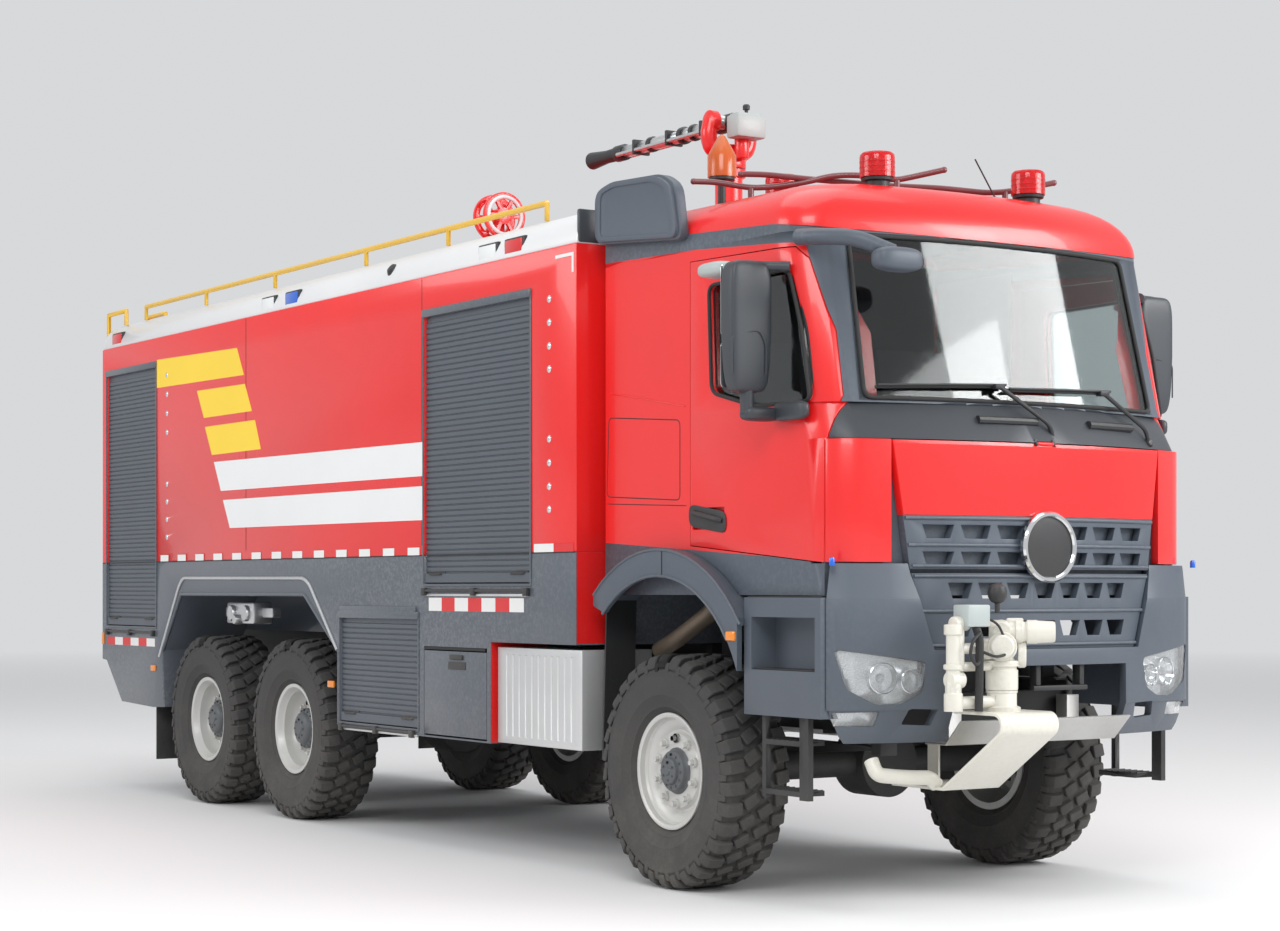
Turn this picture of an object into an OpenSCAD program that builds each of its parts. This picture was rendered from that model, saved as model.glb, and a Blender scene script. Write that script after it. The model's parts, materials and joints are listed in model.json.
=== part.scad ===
// Airport fire truck, six wheels driven. Front of the truck faces -Y, its left side is +X, Z is up.
// Sizes along the truck are measured from the front axle; placed() moves it all to the middle.

/* [Overall] */
// Front axle to first rear axle
wheelbase = 4500; // [4300:10:4700]
// First rear axle to second rear axle
bogie_pitch = 1450; // [1400:10:1500]
// Front axle to the front face of the body
body_front = 810; // [790:5:850]
// Front axle to the rear face of the body
body_rear = 7880; // [7860:10:8000]
// Width of the body
body_w = 2550; // [2530:10:2600]
// Ground to the flat top of the body
body_top = 3390; // [3350:5:3450]
// Ground to the floor of the body
body_floor = 1228; // [1215:1:1260]
// Ground to the seam between the upper and the lower body
body_seam = 1731; // [1700:1:1760]
// Front axle to the front edge of the monitor bracket
front_reach = 1900; // [1890:5:1950]
// Body rear face to the rear of the ladder rail
ladder_reach = 130; // [120:5:160]

/* [Wheels] */
// Outside diameter of a tyre, over its lugs
tyre_d = 1200; // [1190:2:1210]
// Width of a tyre
tyre_w = 400; // [390:2:410]
// Depth of the tread between the lugs
tread = 26; // [20:1:30]
// Lugs on each half of a tyre
lug_count = 18; // [14:2:20]
// Distance between the middles of the left and right tyres
track = 2130; // [2120:2:2140]
// Diameter of the rim flange
flange_d = 600; // [590:2:606]
// Width over the rim flanges
rim_w = 300; // [290:2:306]
// Thickness of the rim and of its disc
rim_t = 12; // [10:1:16]
// Diameter of the hub bore and its spindle
spindle_d = 120; // [110:2:130]

/* [Steering] */
// Middle of a front tyre in to its kingpin
kingpin_inset = 65; // [60:1:75]
// Diameter of a kingpin
kingpin_d = 50; // [46:1:56]

/* [Chassis] */
// Distance over the two chassis rails
rails_w = 850; // [840:5:860]
// Height of a chassis rail
rail_h = 280; // [260:5:300]
// Width of a chassis rail
rail_w = 80; // [70:2:90]
// Ground to the underside of a chassis rail
rail_z = 800; // [795:1:815]
// Thickness of the rail steel
rail_t = 9; // [8:1:12]
// Diameter of an axle tube
axle_d = 150; // [140:2:160]
// Bore for the towing pin
jaw_bore = 40; // [38:1:50]

/* [Cab] */
// Width of the cab
cab_w = 2300; // [2280:5:2320]
// Front axle to the rear wall of the cab
cab_rear = 710; // [690:5:715]
// Ground to the underside of the cab floor
cab_floor = 1500; // [1490:2:1510]
// Ground to the top of the cab roof
cab_top = 3530; // [3500:5:3560]
// Thickness of the cab walls and doors
wall = 60; // [50:1:70]
// Thickness of the outer skins at the front
skin = 50; // [40:1:55]
// Gap round the doors, the flap and other moving panels
gap = 6; // [5:0.5:8]
// Thickness of window glass
glass_t = 6; // [5:0.5:8]
// Radius of the cab front in plan
front_r = 3600; // [3400:50:4000]
// Radius of the cab front corners in plan
corner_r = 210; // [200:5:230]
// Front axle to the front edge of a door
door_front = 1200; // [1190:2:1210]
// Front axle to the rear edge of a door, behind the axle line when negative
door_rear = 100; // [90:2:130]

/* [Body sides] */
// Depth of the recess that holds a roll shutter
shutter_depth = 34; // [30:1:50]
// Thickness of a roll shutter curtain
shutter_t = 18; // [15:1:22]
// Height of the head rail over a roll shutter
head_rail = 50; // [40:1:60]
// Depth of the side lockers below the floor
locker_depth = 600; // [560:10:620]
// Thickness of the toolbox walls and door
box_t = 20; // [16:1:24]

/* [Roof] */
// Ground to the top of the yellow rails
rail_top = 3700; // [3680:5:3740]
// Diameter of a rail tube
rail_d = 34; // [30:1:40]
// Diameter of a beacon
beacon_d = 178; // [170:2:190]
// Height of a beacon
beacon_h = 130; // [120:5:140]

/* [Monitors] */
// Front axle to the roof monitor
roof_monitor_y = 1200; // [1150:10:1250]
// Ground to the tilt axis of the roof monitor
roof_monitor_z = 4225; // [4200:5:4250]
// Length of the roof monitor barrel
roof_barrel = 1450; // [1400:10:1500]
// Middle plane to the bumper monitor, towards the right side
bumper_monitor_x = 475; // [460:5:490]
// Ground to the top plate of the monitor bracket
bracket_top = 960; // [950:2:980]
// Width of the monitor bracket
bracket_w = 350; // [330:5:370]
// Radius of the rolled front edge of the monitor bracket
roll_r = 60; // [50:1:70]
// Angle that the parked bumper monitor points to the left of straight ahead
heading = 50; // [40:1:55]

/* [Hidden] */
$fn = 48;

red = "crimson";
grey = "slategray";
black = "dimgray";
cream = "ivory";

seat = 0.3;            // gap between curved faces that seat on each other
run = 0.05;            // radial running clearance of a spindle in its bore
tyre_r = tyre_d / 2;
axle_z = tyre_r;
bogie_1 = wheelbase;
bogie_2 = wheelbase + bogie_pitch;
y_mid = (body_rear + ladder_reach - front_reach) / 2;
half_body = body_w / 2;
half_cab = cab_w / 2;
half_rails = rails_w / 2;
rail_top_z = rail_z + rail_h;

module placed() { translate([0, -y_mid, 0]) children(); }
// A copy on each side, drawn for the left side
module both() { children(); mirror([1, 0, 0]) children(); }
module side(left) { if (left) children(); else mirror([1, 0, 0]) children(); }
// Box from its low corner to its high corner
module span(a, b) { translate(a) cube(b - a); }
// Side-view outline, in [y, z], drawn from x0 to x1
module profile(points, x0, x1) {
  translate([x0, 0, 0]) rotate([90, 0, 90]) linear_extrude(x1 - x0) polygon(points);
}
// Front-view outline, in [x, z], drawn from y0 to y1
module facing(points, y0, y1) {
  translate([0, y1, 0]) rotate([90, 0, 0]) linear_extrude(y1 - y0) polygon(points);
}
// Round bar between two points
module bar(a, b, d, sides = 48) {
  v = b - a;
  l = norm(v);
  translate(a) rotate([0, acos(v.z / l), atan2(v.y, v.x)]) cylinder(d = d, h = l, $fn = sides);
}
// Tube bent in straight lengths from point to point, its lengths run on past each bend
module tube(points, d) {
  for (i = [0 : len(points) - 2]) {
    v = points[i + 1] - points[i];
    over = v * d / 4 / norm(v);
    bar(i == 0 ? points[i] : points[i] - over, i == len(points) - 2 ? points[i + 1] : points[i + 1] + over, d, 10);
  }
}
// Outline with each corner cut back by d and turned in short flats
round_steps = 4;
function rounded(p, d) = [for (i = [0 : len(p) - 1])
  let (c = p[i], a = p[(i + len(p) - 1) % len(p)], b = p[(i + 1) % len(p)],
    s = c + (a - c) * d / norm(a - c), e = c + (b - c) * d / norm(b - c))
  for (k = [0 : round_steps]) let (t = k / round_steps) s * pow(1 - t, 2) + c * 2 * t * (1 - t) + e * t * t];
module axle_tube(x0, x1, d) { translate([x0, 0, 0]) rotate([0, 90, 0]) cylinder(d = d, h = x1 - x0); }

// Plan of a bowed front with round corners: half width, corner radius, inset all round
bow_steps = 6;
function bow(half_w, corner, inset) =
  let (cx = half_w - corner, reach = front_r - corner, swing = asin(cx / reach),
    cy = front_r - reach * cos(swing),
    arc = [for (i = [0 : bow_steps]) let (a = swing * (i + 0.5) / (bow_steps + 0.5))
      [(front_r - inset) * sin(a), front_r - (front_r - inset) * cos(a)]],
    turn = [for (i = [1 : bow_steps]) let (a = swing + (90 - swing) * i / bow_steps)
      [cx + (corner - inset) * sin(a), cy - (corner - inset) * cos(a)]],
    right = concat(arc, turn, [[half_w - inset, 4000]]))
  concat(right, [for (i = [len(right) - 1 : -1 : 0]) [-right[i].x, right[i].y]]);

// How far a bowed front of this inset falls back at x, and the most that its short flats lie behind its arc
function bow_back(x, inset = 0) = front_r - sqrt(pow(front_r - inset, 2) - x * x);
bow_sag = 1;

// Wheels

bead_r = flange_d / 2 - 20;
// Tyre half section: share of the height from bead to tread floor, share of the half width
TYRE = [[0, 0.68], [0.07, 0.68], [0.2, 0.86], [0.5, 0.98], [0.8, 0.97], [1, 0.84]];
// Side of a lug over the shoulder: share of the half width, depth below the lug's top
LUG = [[0.1, 0], [0.8, 0], [0.94, 24], [1, 95], [0.9, 100], [0.75, 60], [0.1, 60]];
lug_l = 96;
module tyre_shape() {
  h = tyre_r - tread - bead_r;
  half = [for (p = TYRE) [bead_r + p[0] * h, p[1] * tyre_w / 2]];
  rotate([0, 90, 0]) rotate_extrude($fn = 72)
    polygon(concat(half, [for (i = [len(half) - 1 : -1 : 0]) [half[i].x, -half[i].y]]));
  // Lugs of the two halves stand half a pitch apart
  for (s = [-1, 1]) for (i = [0 : lug_count - 1])
    rotate([(i + (s + 1) / 4) * 360 / lug_count, 0, 0]) rotate([90, 0, 0]) linear_extrude(lug_l, center = true)
      polygon([for (p = LUG) [s * p[0] * tyre_w / 2, -tyre_r + p[1]]]);
}
module tyre(left, y) {
  color(black) side(left) translate([track / 2, y, axle_z]) tyre_shape();
}

barrel_r = bead_r - seat;
hub_r = 110;
// disc_x is the outer face of the disc, hub_x the outer end of the hub cap
module rim_shape(disc_x, hub_x) {
  bead_half = TYRE[0][1] * tyre_w / 2 + seat;
  difference() {
    union() {
      axle_tube(-rim_w / 2, rim_w / 2, 2 * barrel_r);
      axle_tube(-rim_w / 2, -bead_half, flange_d);
      axle_tube(bead_half, rim_w / 2, flange_d);
    }
    axle_tube(-rim_w / 2 - 1, disc_x - rim_t, 2 * (barrel_r - rim_t));
    axle_tube(disc_x, rim_w / 2 + 1, 2 * (barrel_r - rim_t));
    axle_tube(disc_x - rim_t - 1, disc_x + 1, 2 * hub_r - rim_t);
  }
  difference() {
    axle_tube(disc_x - 90, hub_x, 2 * hub_r);
    axle_tube(disc_x - 91, hub_x - 40, spindle_d + 2 * run);
  }
}
front_disc = 95;
front_hub = 165;
rear_disc = 20;
rear_hub = 120;
module rim(left, y, disc_x, hub_x) {
  color("gainsboro") side(left) translate([track / 2, y, axle_z]) rim_shape(disc_x, hub_x);
}

// Axles, springs and steering

kingpin_x = track / 2 - kingpin_inset;
ear_in = kingpin_x - 130;
ear_t = 30;
knuckle_h = 210;
module front_axle() {
  color(black) {
    difference() {
      union() {
        translate([0, 0, axle_z]) axle_tube(-ear_in, ear_in, axle_d);
        translate([120, 0, axle_z]) rotate([90, 0, 0]) cylinder(r = 185, h = 260, center = true);
        both() span([ear_in - 15, -60, axle_z - knuckle_h / 2 - ear_t - gap],
          [ear_in + 25, 60, axle_z + knuckle_h / 2 + ear_t + gap]);
        both() for (s = [-1, 1])
          span([ear_in, -55, axle_z + s * (knuckle_h / 2 + gap + ear_t / 2) - ear_t / 2],
            [kingpin_x + 45, 55, axle_z + s * (knuckle_h / 2 + gap + ear_t / 2) + ear_t / 2]);
      }
      both() translate([kingpin_x, 0, axle_z - 200]) cylinder(d = kingpin_d + 2 * run, h = 400);
    }
  }
}
module knuckle(left) {
  color(black) side(left) translate([0, 0, axle_z]) {
    span([kingpin_x - 70, -65, -knuckle_h / 2], [kingpin_x + 50, 65, knuckle_h / 2]);
    translate([kingpin_x, 0, -knuckle_h / 2 - ear_t - gap])
      cylinder(d = kingpin_d, h = knuckle_h + 2 * (ear_t + gap));
    axle_tube(kingpin_x + 40, track / 2 + front_hub - 50, spindle_d);
    span([kingpin_x - 60, 60, -80], [kingpin_x - 20, 150, -40]);
  }
}
module rear_axles() {
  color(black) for (y = [bogie_1, bogie_2]) translate([0, y, axle_z]) {
    axle_tube(-track / 2 - rear_hub + 50, track / 2 + rear_hub - 50, spindle_d);
    axle_tube(-ear_in, ear_in, axle_d + 10);
    rotate([90, 0, 0]) cylinder(r = 190, h = 300, center = true);
  }
}
spring_x = half_rails + 10;
spring_w = 85;
spring_end = 18;
// Leaf packs: middle of the pack, half length, flat end, underside at the ends and at the middle, thickness there
SPRINGS = [[0, 780, 40, axle_z + axle_d / 2 + 45, axle_z + axle_d / 2, 75],
  [(bogie_1 + bogie_2) / 2, bogie_pitch / 2 + 80, 160, axle_z + axle_d / 2 + 5, axle_z + axle_d / 2 + 60, 110]];
module leaf_springs() {
  color(black) both() for (s = SPRINGS) {
    half = [[s[1], s[3]], [s[1] - s[2], s[3]], [110, s[4]]];
    upper = [[110, s[4] + s[5]], [s[1] - s[2], s[3] + spring_end + 6], [s[1], s[3] + spring_end]];
    right = [for (p = concat(half, upper)) [s[0] + p.x, p.y]];
    left = [for (p = concat(half, upper)) [s[0] - p.x, p.y]];
    profile(concat([for (i = [2 : -1 : 0]) right[i]], [for (i = [5 : -1 : 3]) right[i]],
      [for (i = [3 : 5]) left[i]], [for (i = [0 : 2]) left[i]]), spring_x, spring_x + spring_w);
  }
}

// Chassis

frame_front = -1180;
frame_rear = body_rear - 200;
jaw_y = body_rear - 80;
jaw_z = 880;
jaw_gap = 60;
jaw_t = 30;
CROSS = [-1100, 2700, 3700, 5225, 6600, 7500];
subframe_front = body_front + 60;
module channel(y0, y1) {
  difference() {
    span([half_rails - rail_w, y0, rail_z], [half_rails, y1, rail_top_z]);
    span([half_rails - rail_w - 1, y0 - 1, rail_z + rail_t], [half_rails - rail_t, y1 + 1, rail_top_z - rail_t]);
  }
}
module chassis_frame() {
  color(black) {
    both() channel(frame_front, frame_rear);
    for (y = CROSS) span([-half_rails + rail_t, y - 45, rail_z + 60],
      [half_rails - rail_t, y + 45, rail_top_z - 60]);
    both() span([half_rails - rail_w, subframe_front, rail_top_z], [half_rails, frame_rear, body_floor]);
    both() for (y = [-1080, cab_rear - 130])
      span([half_rails - rail_w, y, rail_top_z], [half_rails, y + 80, cab_floor]);
    // Bumper brackets
    both() span([half_rails - rail_w, BUMPER[1].x + bow_back(half_rails, bumper_t) + bow_sag + seat, 1165],
      [half_rails, -1000, 1235]);
    both() span([half_rails - rail_w, -1080, rail_top_z], [half_rails, -1000, 1235]);
    // Towing jaw at the rear, two plates with a bore for the pin
    difference() {
      union() {
        for (z = [jaw_z - jaw_t, jaw_z + jaw_gap]) {
          span([-80, CROSS[5] + 45, z], [80, jaw_y, z + jaw_t]);
          translate([0, jaw_y, z]) cylinder(d = 120, h = jaw_t);
        }
      }
      translate([0, jaw_y, jaw_z - jaw_t - 1]) cylinder(d = jaw_bore, h = 2 * jaw_t + jaw_gap + 2);
    }
    // Engine mounts
    both() span([engine_w / 2, -520, 900], [half_rails - rail_t, -440, 960]);
    // Tank and silencer brackets
    for (y = [side_box[0].x + 110, side_box[1].x - 170]) {
      span([half_rails, y, 1000], [half_body - 25 - tank_deep, y + 60, 1060]);
      span([-half_body + 25 + silencer_deep, y, 1000], [-half_rails, y + 60, 1060]);
    }
    // Spring hangers at the ends of the front packs, trunnions at the middle of the bogie packs
    front = SPRINGS[0];
    both() for (d = [-1, 1]) {
      y = front[0] + d * (front[1] + 35);
      span([half_rails - 10, y - 35, front[3] - 20], [spring_x + spring_w, y + 35, rail_z + 60]);
    }
    bogie = SPRINGS[1];
    both() span([half_rails - 10, bogie[0] - 100, bogie[4] + bogie[5]], [spring_x + spring_w, bogie[0] + 100, rail_z + 160]);
  }
}
engine_w = 640;
module engine_block() { color(black) span([-engine_w / 2, -900, 860], [engine_w / 2, 330, 1420]); }
module driveline() {
  color(black) {
    span([-200, 330, 900], [200, 1000, 1160]);
    span([-190, 1500, 560], [260, 1950, 860]);
    bar([0, 1000, 980], [0, 1500, 800], 90);
    bar([0, 1950, 680], [0, bogie_1 - 150, 680], 100);
    bar([0, bogie_1 + 150, 680], [0, bogie_2 - 150, 680], 100);
    bar([120, 130, 650], [120, 1500, 650], 80);
  }
}

// Cab volume

// Front of the cab at the middle plane, bottom to top: distance ahead of the front axle, height
FRONT = [[-1476, cab_floor], [-1476, 2241], [-1369, 2418], [-1170, 3250], [-1150, 3380], [-1150, cab_top]];
roof_round = 170;
brow_r = 300;
// Plan outline of the cab with its front at y = 0, shrunk all round by inset
module plan(inset) { polygon(bow(half_cab, corner_r, inset)); }
// Part of the cab between two heights of FRONT
module cab_band(i, inset, floor_in) {
  a = FRONT[i];
  b = FRONT[i + 1];
  tilt = atan((b.x - a.x) / (b.y - a.y));
  low = i == 0 ? a.y + floor_in : a.y;
  high = i == len(FRONT) - 2 ? b.y - inset : b.y;
  intersection() {
    translate([0, a.x, a.y]) rotate([-tilt, 0, 0]) translate([0, 0, -1500]) linear_extrude(4000) plan(inset);
    span([-half_cab - 1, -2000, low], [half_cab + 1, cab_rear - inset, high]);
  }
}
// Skin of one band at the front, thick from the outside
module band_skin(i, thick) {
  intersection() {
    difference() { cab_band(i, 0, 0); cab_band(i, thick, -5); }
    span([-2000, -2000, 0], [2000, skin_rear - gap / 2, cab_top]);
  }
}
module cab_volume(inset, floor_in) {
  intersection() {
    union() for (i = [0 : len(FRONT) - 2]) cab_band(i, inset, floor_in);
    // Rounded brow
    translate([-half_cab - 1, 0, 0]) rotate([90, 0, 90]) linear_extrude(cab_w + 2) {
      brow = FRONT[4].x + brow_r;
      translate([-2000, 0]) square([4000, cab_top - brow_r]);
      translate([brow, 0]) square([2000, cab_top - inset]);
      translate([brow, cab_top - brow_r]) circle(r = brow_r - inset);
    }
    // Rounded roof edges
    rotate([90, 0, 0]) linear_extrude(6000, center = true) {
      translate([-half_cab + inset, 0]) square([cab_w - 2 * inset, cab_top - roof_round]);
      translate([-half_cab + roof_round, 0]) square([cab_w - 2 * roof_round, cab_top - inset]);
      for (s = [-1, 1]) translate([s * (half_cab - roof_round), cab_top - roof_round])
        circle(r = roof_round - inset);
    }
  }
}
skin_top = FRONT[2].y;
skin_rear = -door_front - gap / 2;
module skin_zone(d = 0) { span([-2000, -2000, cab_floor - 1], [2000, skin_rear - d, skin_top]); }
// Outside of the cab wall at y, below the cowl
function skin_x(y) = let (cx = half_cab - corner_r, reach = front_r - corner_r,
    cy = FRONT[0].x + front_r - sqrt(reach * reach - cx * cx))
  cx + sqrt(pow(corner_r, 2) - pow(max(0, cy - y), 2));
door_edge_r = 13;
hinge_y = -door_front + door_edge_r;
hinge_x = skin_x(hinge_y) - door_edge_r;
door_pin_d = 16;
door_pin_up = 60;
red_edge = 1657;
flap_x = 862;
grille_top_z = 1881;
grille_bottom_z = 1625;
cowl_z = FRONT[1].y;

// Door outline and window, in [y, z]
DOOR = [[-door_front, red_edge], [-door_front, 2450], [-1130, 2760], [-1010, 3110], [-950, 3170], [-door_rear, 3190],
  [-door_rear, red_edge + 95]];
WINDOW = rounded([[-1110, 2420], [-1045, 2760], [-940, 3065], [-265, 3055], [-290, 2515], [-660, 2425]], 55);
function middle(p) = [for (k = [0, 1]) [for (q = p) q[k]] * [for (q = p) 1] / len(p)];
// Points moved towards the middle of an outline by d
function shrink(p, d) = let (c = middle(p)) [for (q = p) q + (c - q) * d / norm(c - q)];
SCREEN = rounded([[-930, 2440], [930, 2440], [890, 3235], [-890, 3235]], 45);

module cab_shell() {
  color(red) both() translate([hinge_x, hinge_y, red_edge - 40]) cylinder(d = door_pin_d, h = 40 + door_pin_up);
  color(red) difference() {
    union() {
      difference() { cab_volume(0, 0); cab_volume(wall, wall); }
      intersection() {
        difference() { cab_volume(skin + seat, 0); cab_volume(skin + wall, wall); }
        skin_zone(0);
      }
    }
    intersection() {
      difference() { cab_volume(-5, -5); cab_volume(skin + seat, -6); }
      skin_zone(0);
    }
    both() profile(shrink(DOOR, -gap), 600, half_cab + 1);
    // Sill level where the front edge of the door swings over it
    both() span([hinge_x - wall - gap, -door_front, red_edge - gap], [half_cab + 1, hinge_y + wall + 2 * gap, red_edge + gap]);
    facing(SCREEN, -1600, -700);
  }
}
module door(left) {
  color(red) side(left) difference() {
    intersection() {
      difference() { cab_volume(0, 0); cab_volume(wall, -5); }
      profile(DOOR, 700, half_cab + 1);
    }
    profile(WINDOW, 700, half_cab + 1);
    // Bore for the hinge pin, and the edge that turns about it
    translate([hinge_x, hinge_y, red_edge - 1]) cylinder(d = door_pin_d + 2 * run, h = door_pin_up + 4);
    difference() {
      span([hinge_x, -door_front - 1, red_edge - 1], [half_cab, hinge_y, cowl_z]);
      translate([hinge_x, hinge_y, red_edge - 2]) cylinder(r = door_edge_r, h = cowl_z);
    }
    // Handle pocket
    span([half_cab - 25, -400, 1830], [half_cab + 1, -120, 1940]);
  }
}
module door_glass(left) {
  color("lightblue") side(left) intersection() {
    difference() { cab_volume(25, 0); cab_volume(25 + glass_t, -5); }
    profile(shrink(WINDOW, seat), 700, half_cab + 1);
  }
}
module windscreen() {
  color("lightblue") intersection() {
    difference() { cab_volume(20, 0); cab_volume(20 + glass_t, -5); }
    facing(shrink(SCREEN, seat), -1600, -700);
  }
}
module corner_panels() {
  color(red) intersection() {
    band_skin(0, skin);
    both() span([flap_x + gap, -2000, red_edge], [half_cab + 1, skin_rear - gap / 2, cowl_z - gap / 2]);
  }
}
// Hinge of the front flap: a knuckle at the middle of its top edge, on a pin between two lugs of the cowl
flap_pin_d = 8;
knuckle_d = 16;
knuckle_half = 50;
lug_in = knuckle_half + 1;
lug_out = lug_in + 12;
flap_pin_y = FRONT[0].x - 2;
flap_pin_z = cowl_z - gap + 1;
module flap_axis(half, d) { translate([0, flap_pin_y, flap_pin_z]) axle_tube(-half, half, d); }
module front_flap() {
  color(red) difference() {
    union() {
      difference() {
        intersection() {
          band_skin(0, skin - gap);
          facing([[-flap_x, cowl_z - gap], [flap_x, cowl_z - gap], [flap_x - 52, grille_top_z],
            [-flap_x + 52, grille_top_z]], -2000, -1000);
        }
        flap_axis(lug_out + gap, knuckle_d + 2 * gap);
      }
      flap_axis(knuckle_half, knuckle_d);
      span([-knuckle_half, flap_pin_y + 3, flap_pin_z - knuckle_d - gap], [knuckle_half, flap_pin_y + skin - gap, flap_pin_z]);
    }
    flap_axis(knuckle_half + 1, flap_pin_d + 2 * run);
  }
}
module cab_trim() {
  color(grey) {
    difference() {
      band_skin(1, skin);
      flap_axis(lug_in, knuckle_d + 2 * gap);
    }
    both() intersection() {
      span([lug_in, flap_pin_y - skin, flap_pin_z - skin], [lug_out, flap_pin_y + skin, cowl_z + knuckle_d]);
      union() {
        flap_axis(lug_out, knuckle_d);
        span([lug_in, flap_pin_y + 3, flap_pin_z], [lug_out, flap_pin_y + skin - gap, cowl_z + knuckle_d]);
      }
    }
    flap_axis(lug_in + 2, flap_pin_d);
  }
}
GRILLE_RISE = grille_top_z - grille_bottom_z;
// Opening of a grille: its middle, top, half width at the top and height
function grille_hole(x, z, half, h) = [[x - half, z], [x + half, z], [x + half - h / 3, z - h], [x - half + h / 3, z - h]];
module grille_upper() {
  color(grey) difference() {
    intersection() {
      band_skin(0, skin - gap);
      facing([[-flap_x + 52, grille_top_z], [flap_x - 52, grille_top_z], [flap_x - 88, grille_bottom_z],
        [-flap_x + 88, grille_bottom_z]], -2000, -1000);
    }
    for (row = [0, 1]) for (k = [-3 : 3])
      facing(grille_hole(k * 208, grille_top_z - 45 - row * GRILLE_RISE / 2, 85, 65), -2000, -1000);
  }
}
lower_grille_bottom = 1240;
lower_grille_top = grille_bottom_z - 20;
module grille_lower() {
  color(grey) difference() {
    intersection() {
      translate([0, 0, -300]) band_skin(0, skin);
      facing([[-flap_x + 95, lower_grille_top], [flap_x - 95, lower_grille_top],
        [flap_x - 210, lower_grille_bottom], [-flap_x + 210, lower_grille_bottom]], -2000, -1000);
    }
    for (row = [0, 1]) for (k = [-3 : 3])
      facing(grille_hole(k * 168, lower_grille_top - 45 - row * (lower_grille_top - lower_grille_bottom) / 2, 68, 75),
        -2000, -1000);
  }
}

// Bumper

bumper_w = 2500;
bumper_r = 290;
bumper_rear = -1262;
bumper_bottom = 802;
bumper_shoulder = 1485;
// Front of the bumper at the middle plane, bottom to top
BUMPER = [[-1440, bumper_bottom], [-1500, 960], [-1500, bumper_shoulder], [-1476, red_edge - gap]];
module bumper_plan(inset) { polygon(bow(bumper_w / 2, bumper_r, inset)); }
module bumper_volume(inset) {
  for (i = [0 : len(BUMPER) - 2]) {
    a = BUMPER[i];
    b = BUMPER[i + 1];
    tilt = atan((b.x - a.x) / (b.y - a.y));
    intersection() {
      translate([0, a.x, a.y]) rotate([-tilt, 0, 0]) translate([0, 0, -500]) linear_extrude(1500)
        bumper_plan(inset);
      span([-bumper_w, -2000, a.y], [bumper_w, bumper_rear, b.y]);
    }
  }
}
bumper_t = 44;
// Lamp and duct outlines on one side, in [x, z]
HEADLAMP = rounded([[700, 1185], [1150, 1248], [1100, 1060], [960, 985], [830, 990], [725, 1040]], 30);
FOG = rounded([[935, 955], [1150, 950], [1130, 885], [945, 882]], 12);
DUCT = rounded([[640, 960], [790, 965], [815, 890], [660, 882]], 12);
bumper_inner = 560;
module bumper() {
  color(grey) difference() {
    bumper_volume(0);
    bumper_volume(bumper_t);
    facing([[-flap_x + 70, 1700], [flap_x - 70, 1700], [flap_x - 85, lower_grille_top],
      [flap_x - 200, lower_grille_bottom], [-flap_x + 200, lower_grille_bottom],
      [-flap_x + 85, lower_grille_top]], -2000, -1000);
    span([-bumper_inner, -2000, 700], [bumper_inner, -1000, 1160]);
    both() facing(HEADLAMP, -2000, -1000);
    both() facing(FOG, -2000, -1000);
    both() facing(DUCT, -2000, -1000);
  }
}
module headlamps() {
  color("whitesmoke") intersection() {
    difference() { bumper_volume(10); bumper_volume(bumper_t); }
    both() {
      facing(shrink(HEADLAMP, 0.5), -2000, -1000);
      facing(shrink(FOG, 0.5), -2000, -1000);
    }
  }
}
module underrun_plate() {
  color("silver") {
    profile([[-1500, 900], [-1490, 905], [-1380, 790], [-1230, 790], [-1230, 782], [-1385, 782]],
      -bumper_inner + 10, bumper_inner - 10);
    // Cross tube that carries the plate
    both() span([half_rails - rail_w, -1260, 786], [half_rails, frame_front, 1000]);
  }
}

// Steps, fenders and mudflaps

step_out = 1200;
step_in = 960;
module cab_steps() {
  color(grey) both() {
    difference() {
      span([step_in, -1255, 920], [step_out, -640, 1490]);
      span([step_in + 90, -1210, 1140], [step_out + 1, -700, 1395]);
    }
    // Hanger under the cab floor
    span([step_in + 40, -900, 1490], [step_in + 100, -840, cab_floor]);
    // Ladder
    span([step_out - 60, -1120, 525], [step_out - 30, -1050, 919.9]);
    span([step_out - 60, -780, 525], [step_out - 30, -750, 919.9]);
    for (z = [540, 780]) span([step_in + 60, -1050, z], [step_out - 30, -780, z + 25]);
  }
}
arch_y = 80;
arch_z = 820;
arch_r = 775;
fender_r = 915;
fender_x = 1240;
fender_in = 960;
module fender_ring(r0, r1, x0, x1) {
  intersection() {
    translate([0, arch_y, arch_z]) difference() { axle_tube(x0, x1, 2 * r1); axle_tube(x0 - 1, x1 + 1, 2 * r0); }
    profile([[-635, 1130], [-635, 1750], [690, 1750], [690, 1440], [300, 1300]], x0 - 1, x1 + 1);
  }
}
module front_fenders() {
  color(grey) both() {
    difference() {
      union() {
        fender_ring(fender_r - 25, fender_r, fender_in, fender_x);
        fender_ring(arch_r, fender_r - 20, fender_x - 30, fender_x);
      }
      span([fender_in - 1, -1000, cab_floor], [half_cab + gap, 800, 2000]);
    }
  }
}
module mudflaps() {
  color(black) both() {
    profile([[735, 613], [747, 613], [707, cab_floor], [695, cab_floor]], 960, half_cab);
    span([960, 6850, 260], [1240, 6862, 650]);
  }
}

// Cab inside and roof

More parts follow.
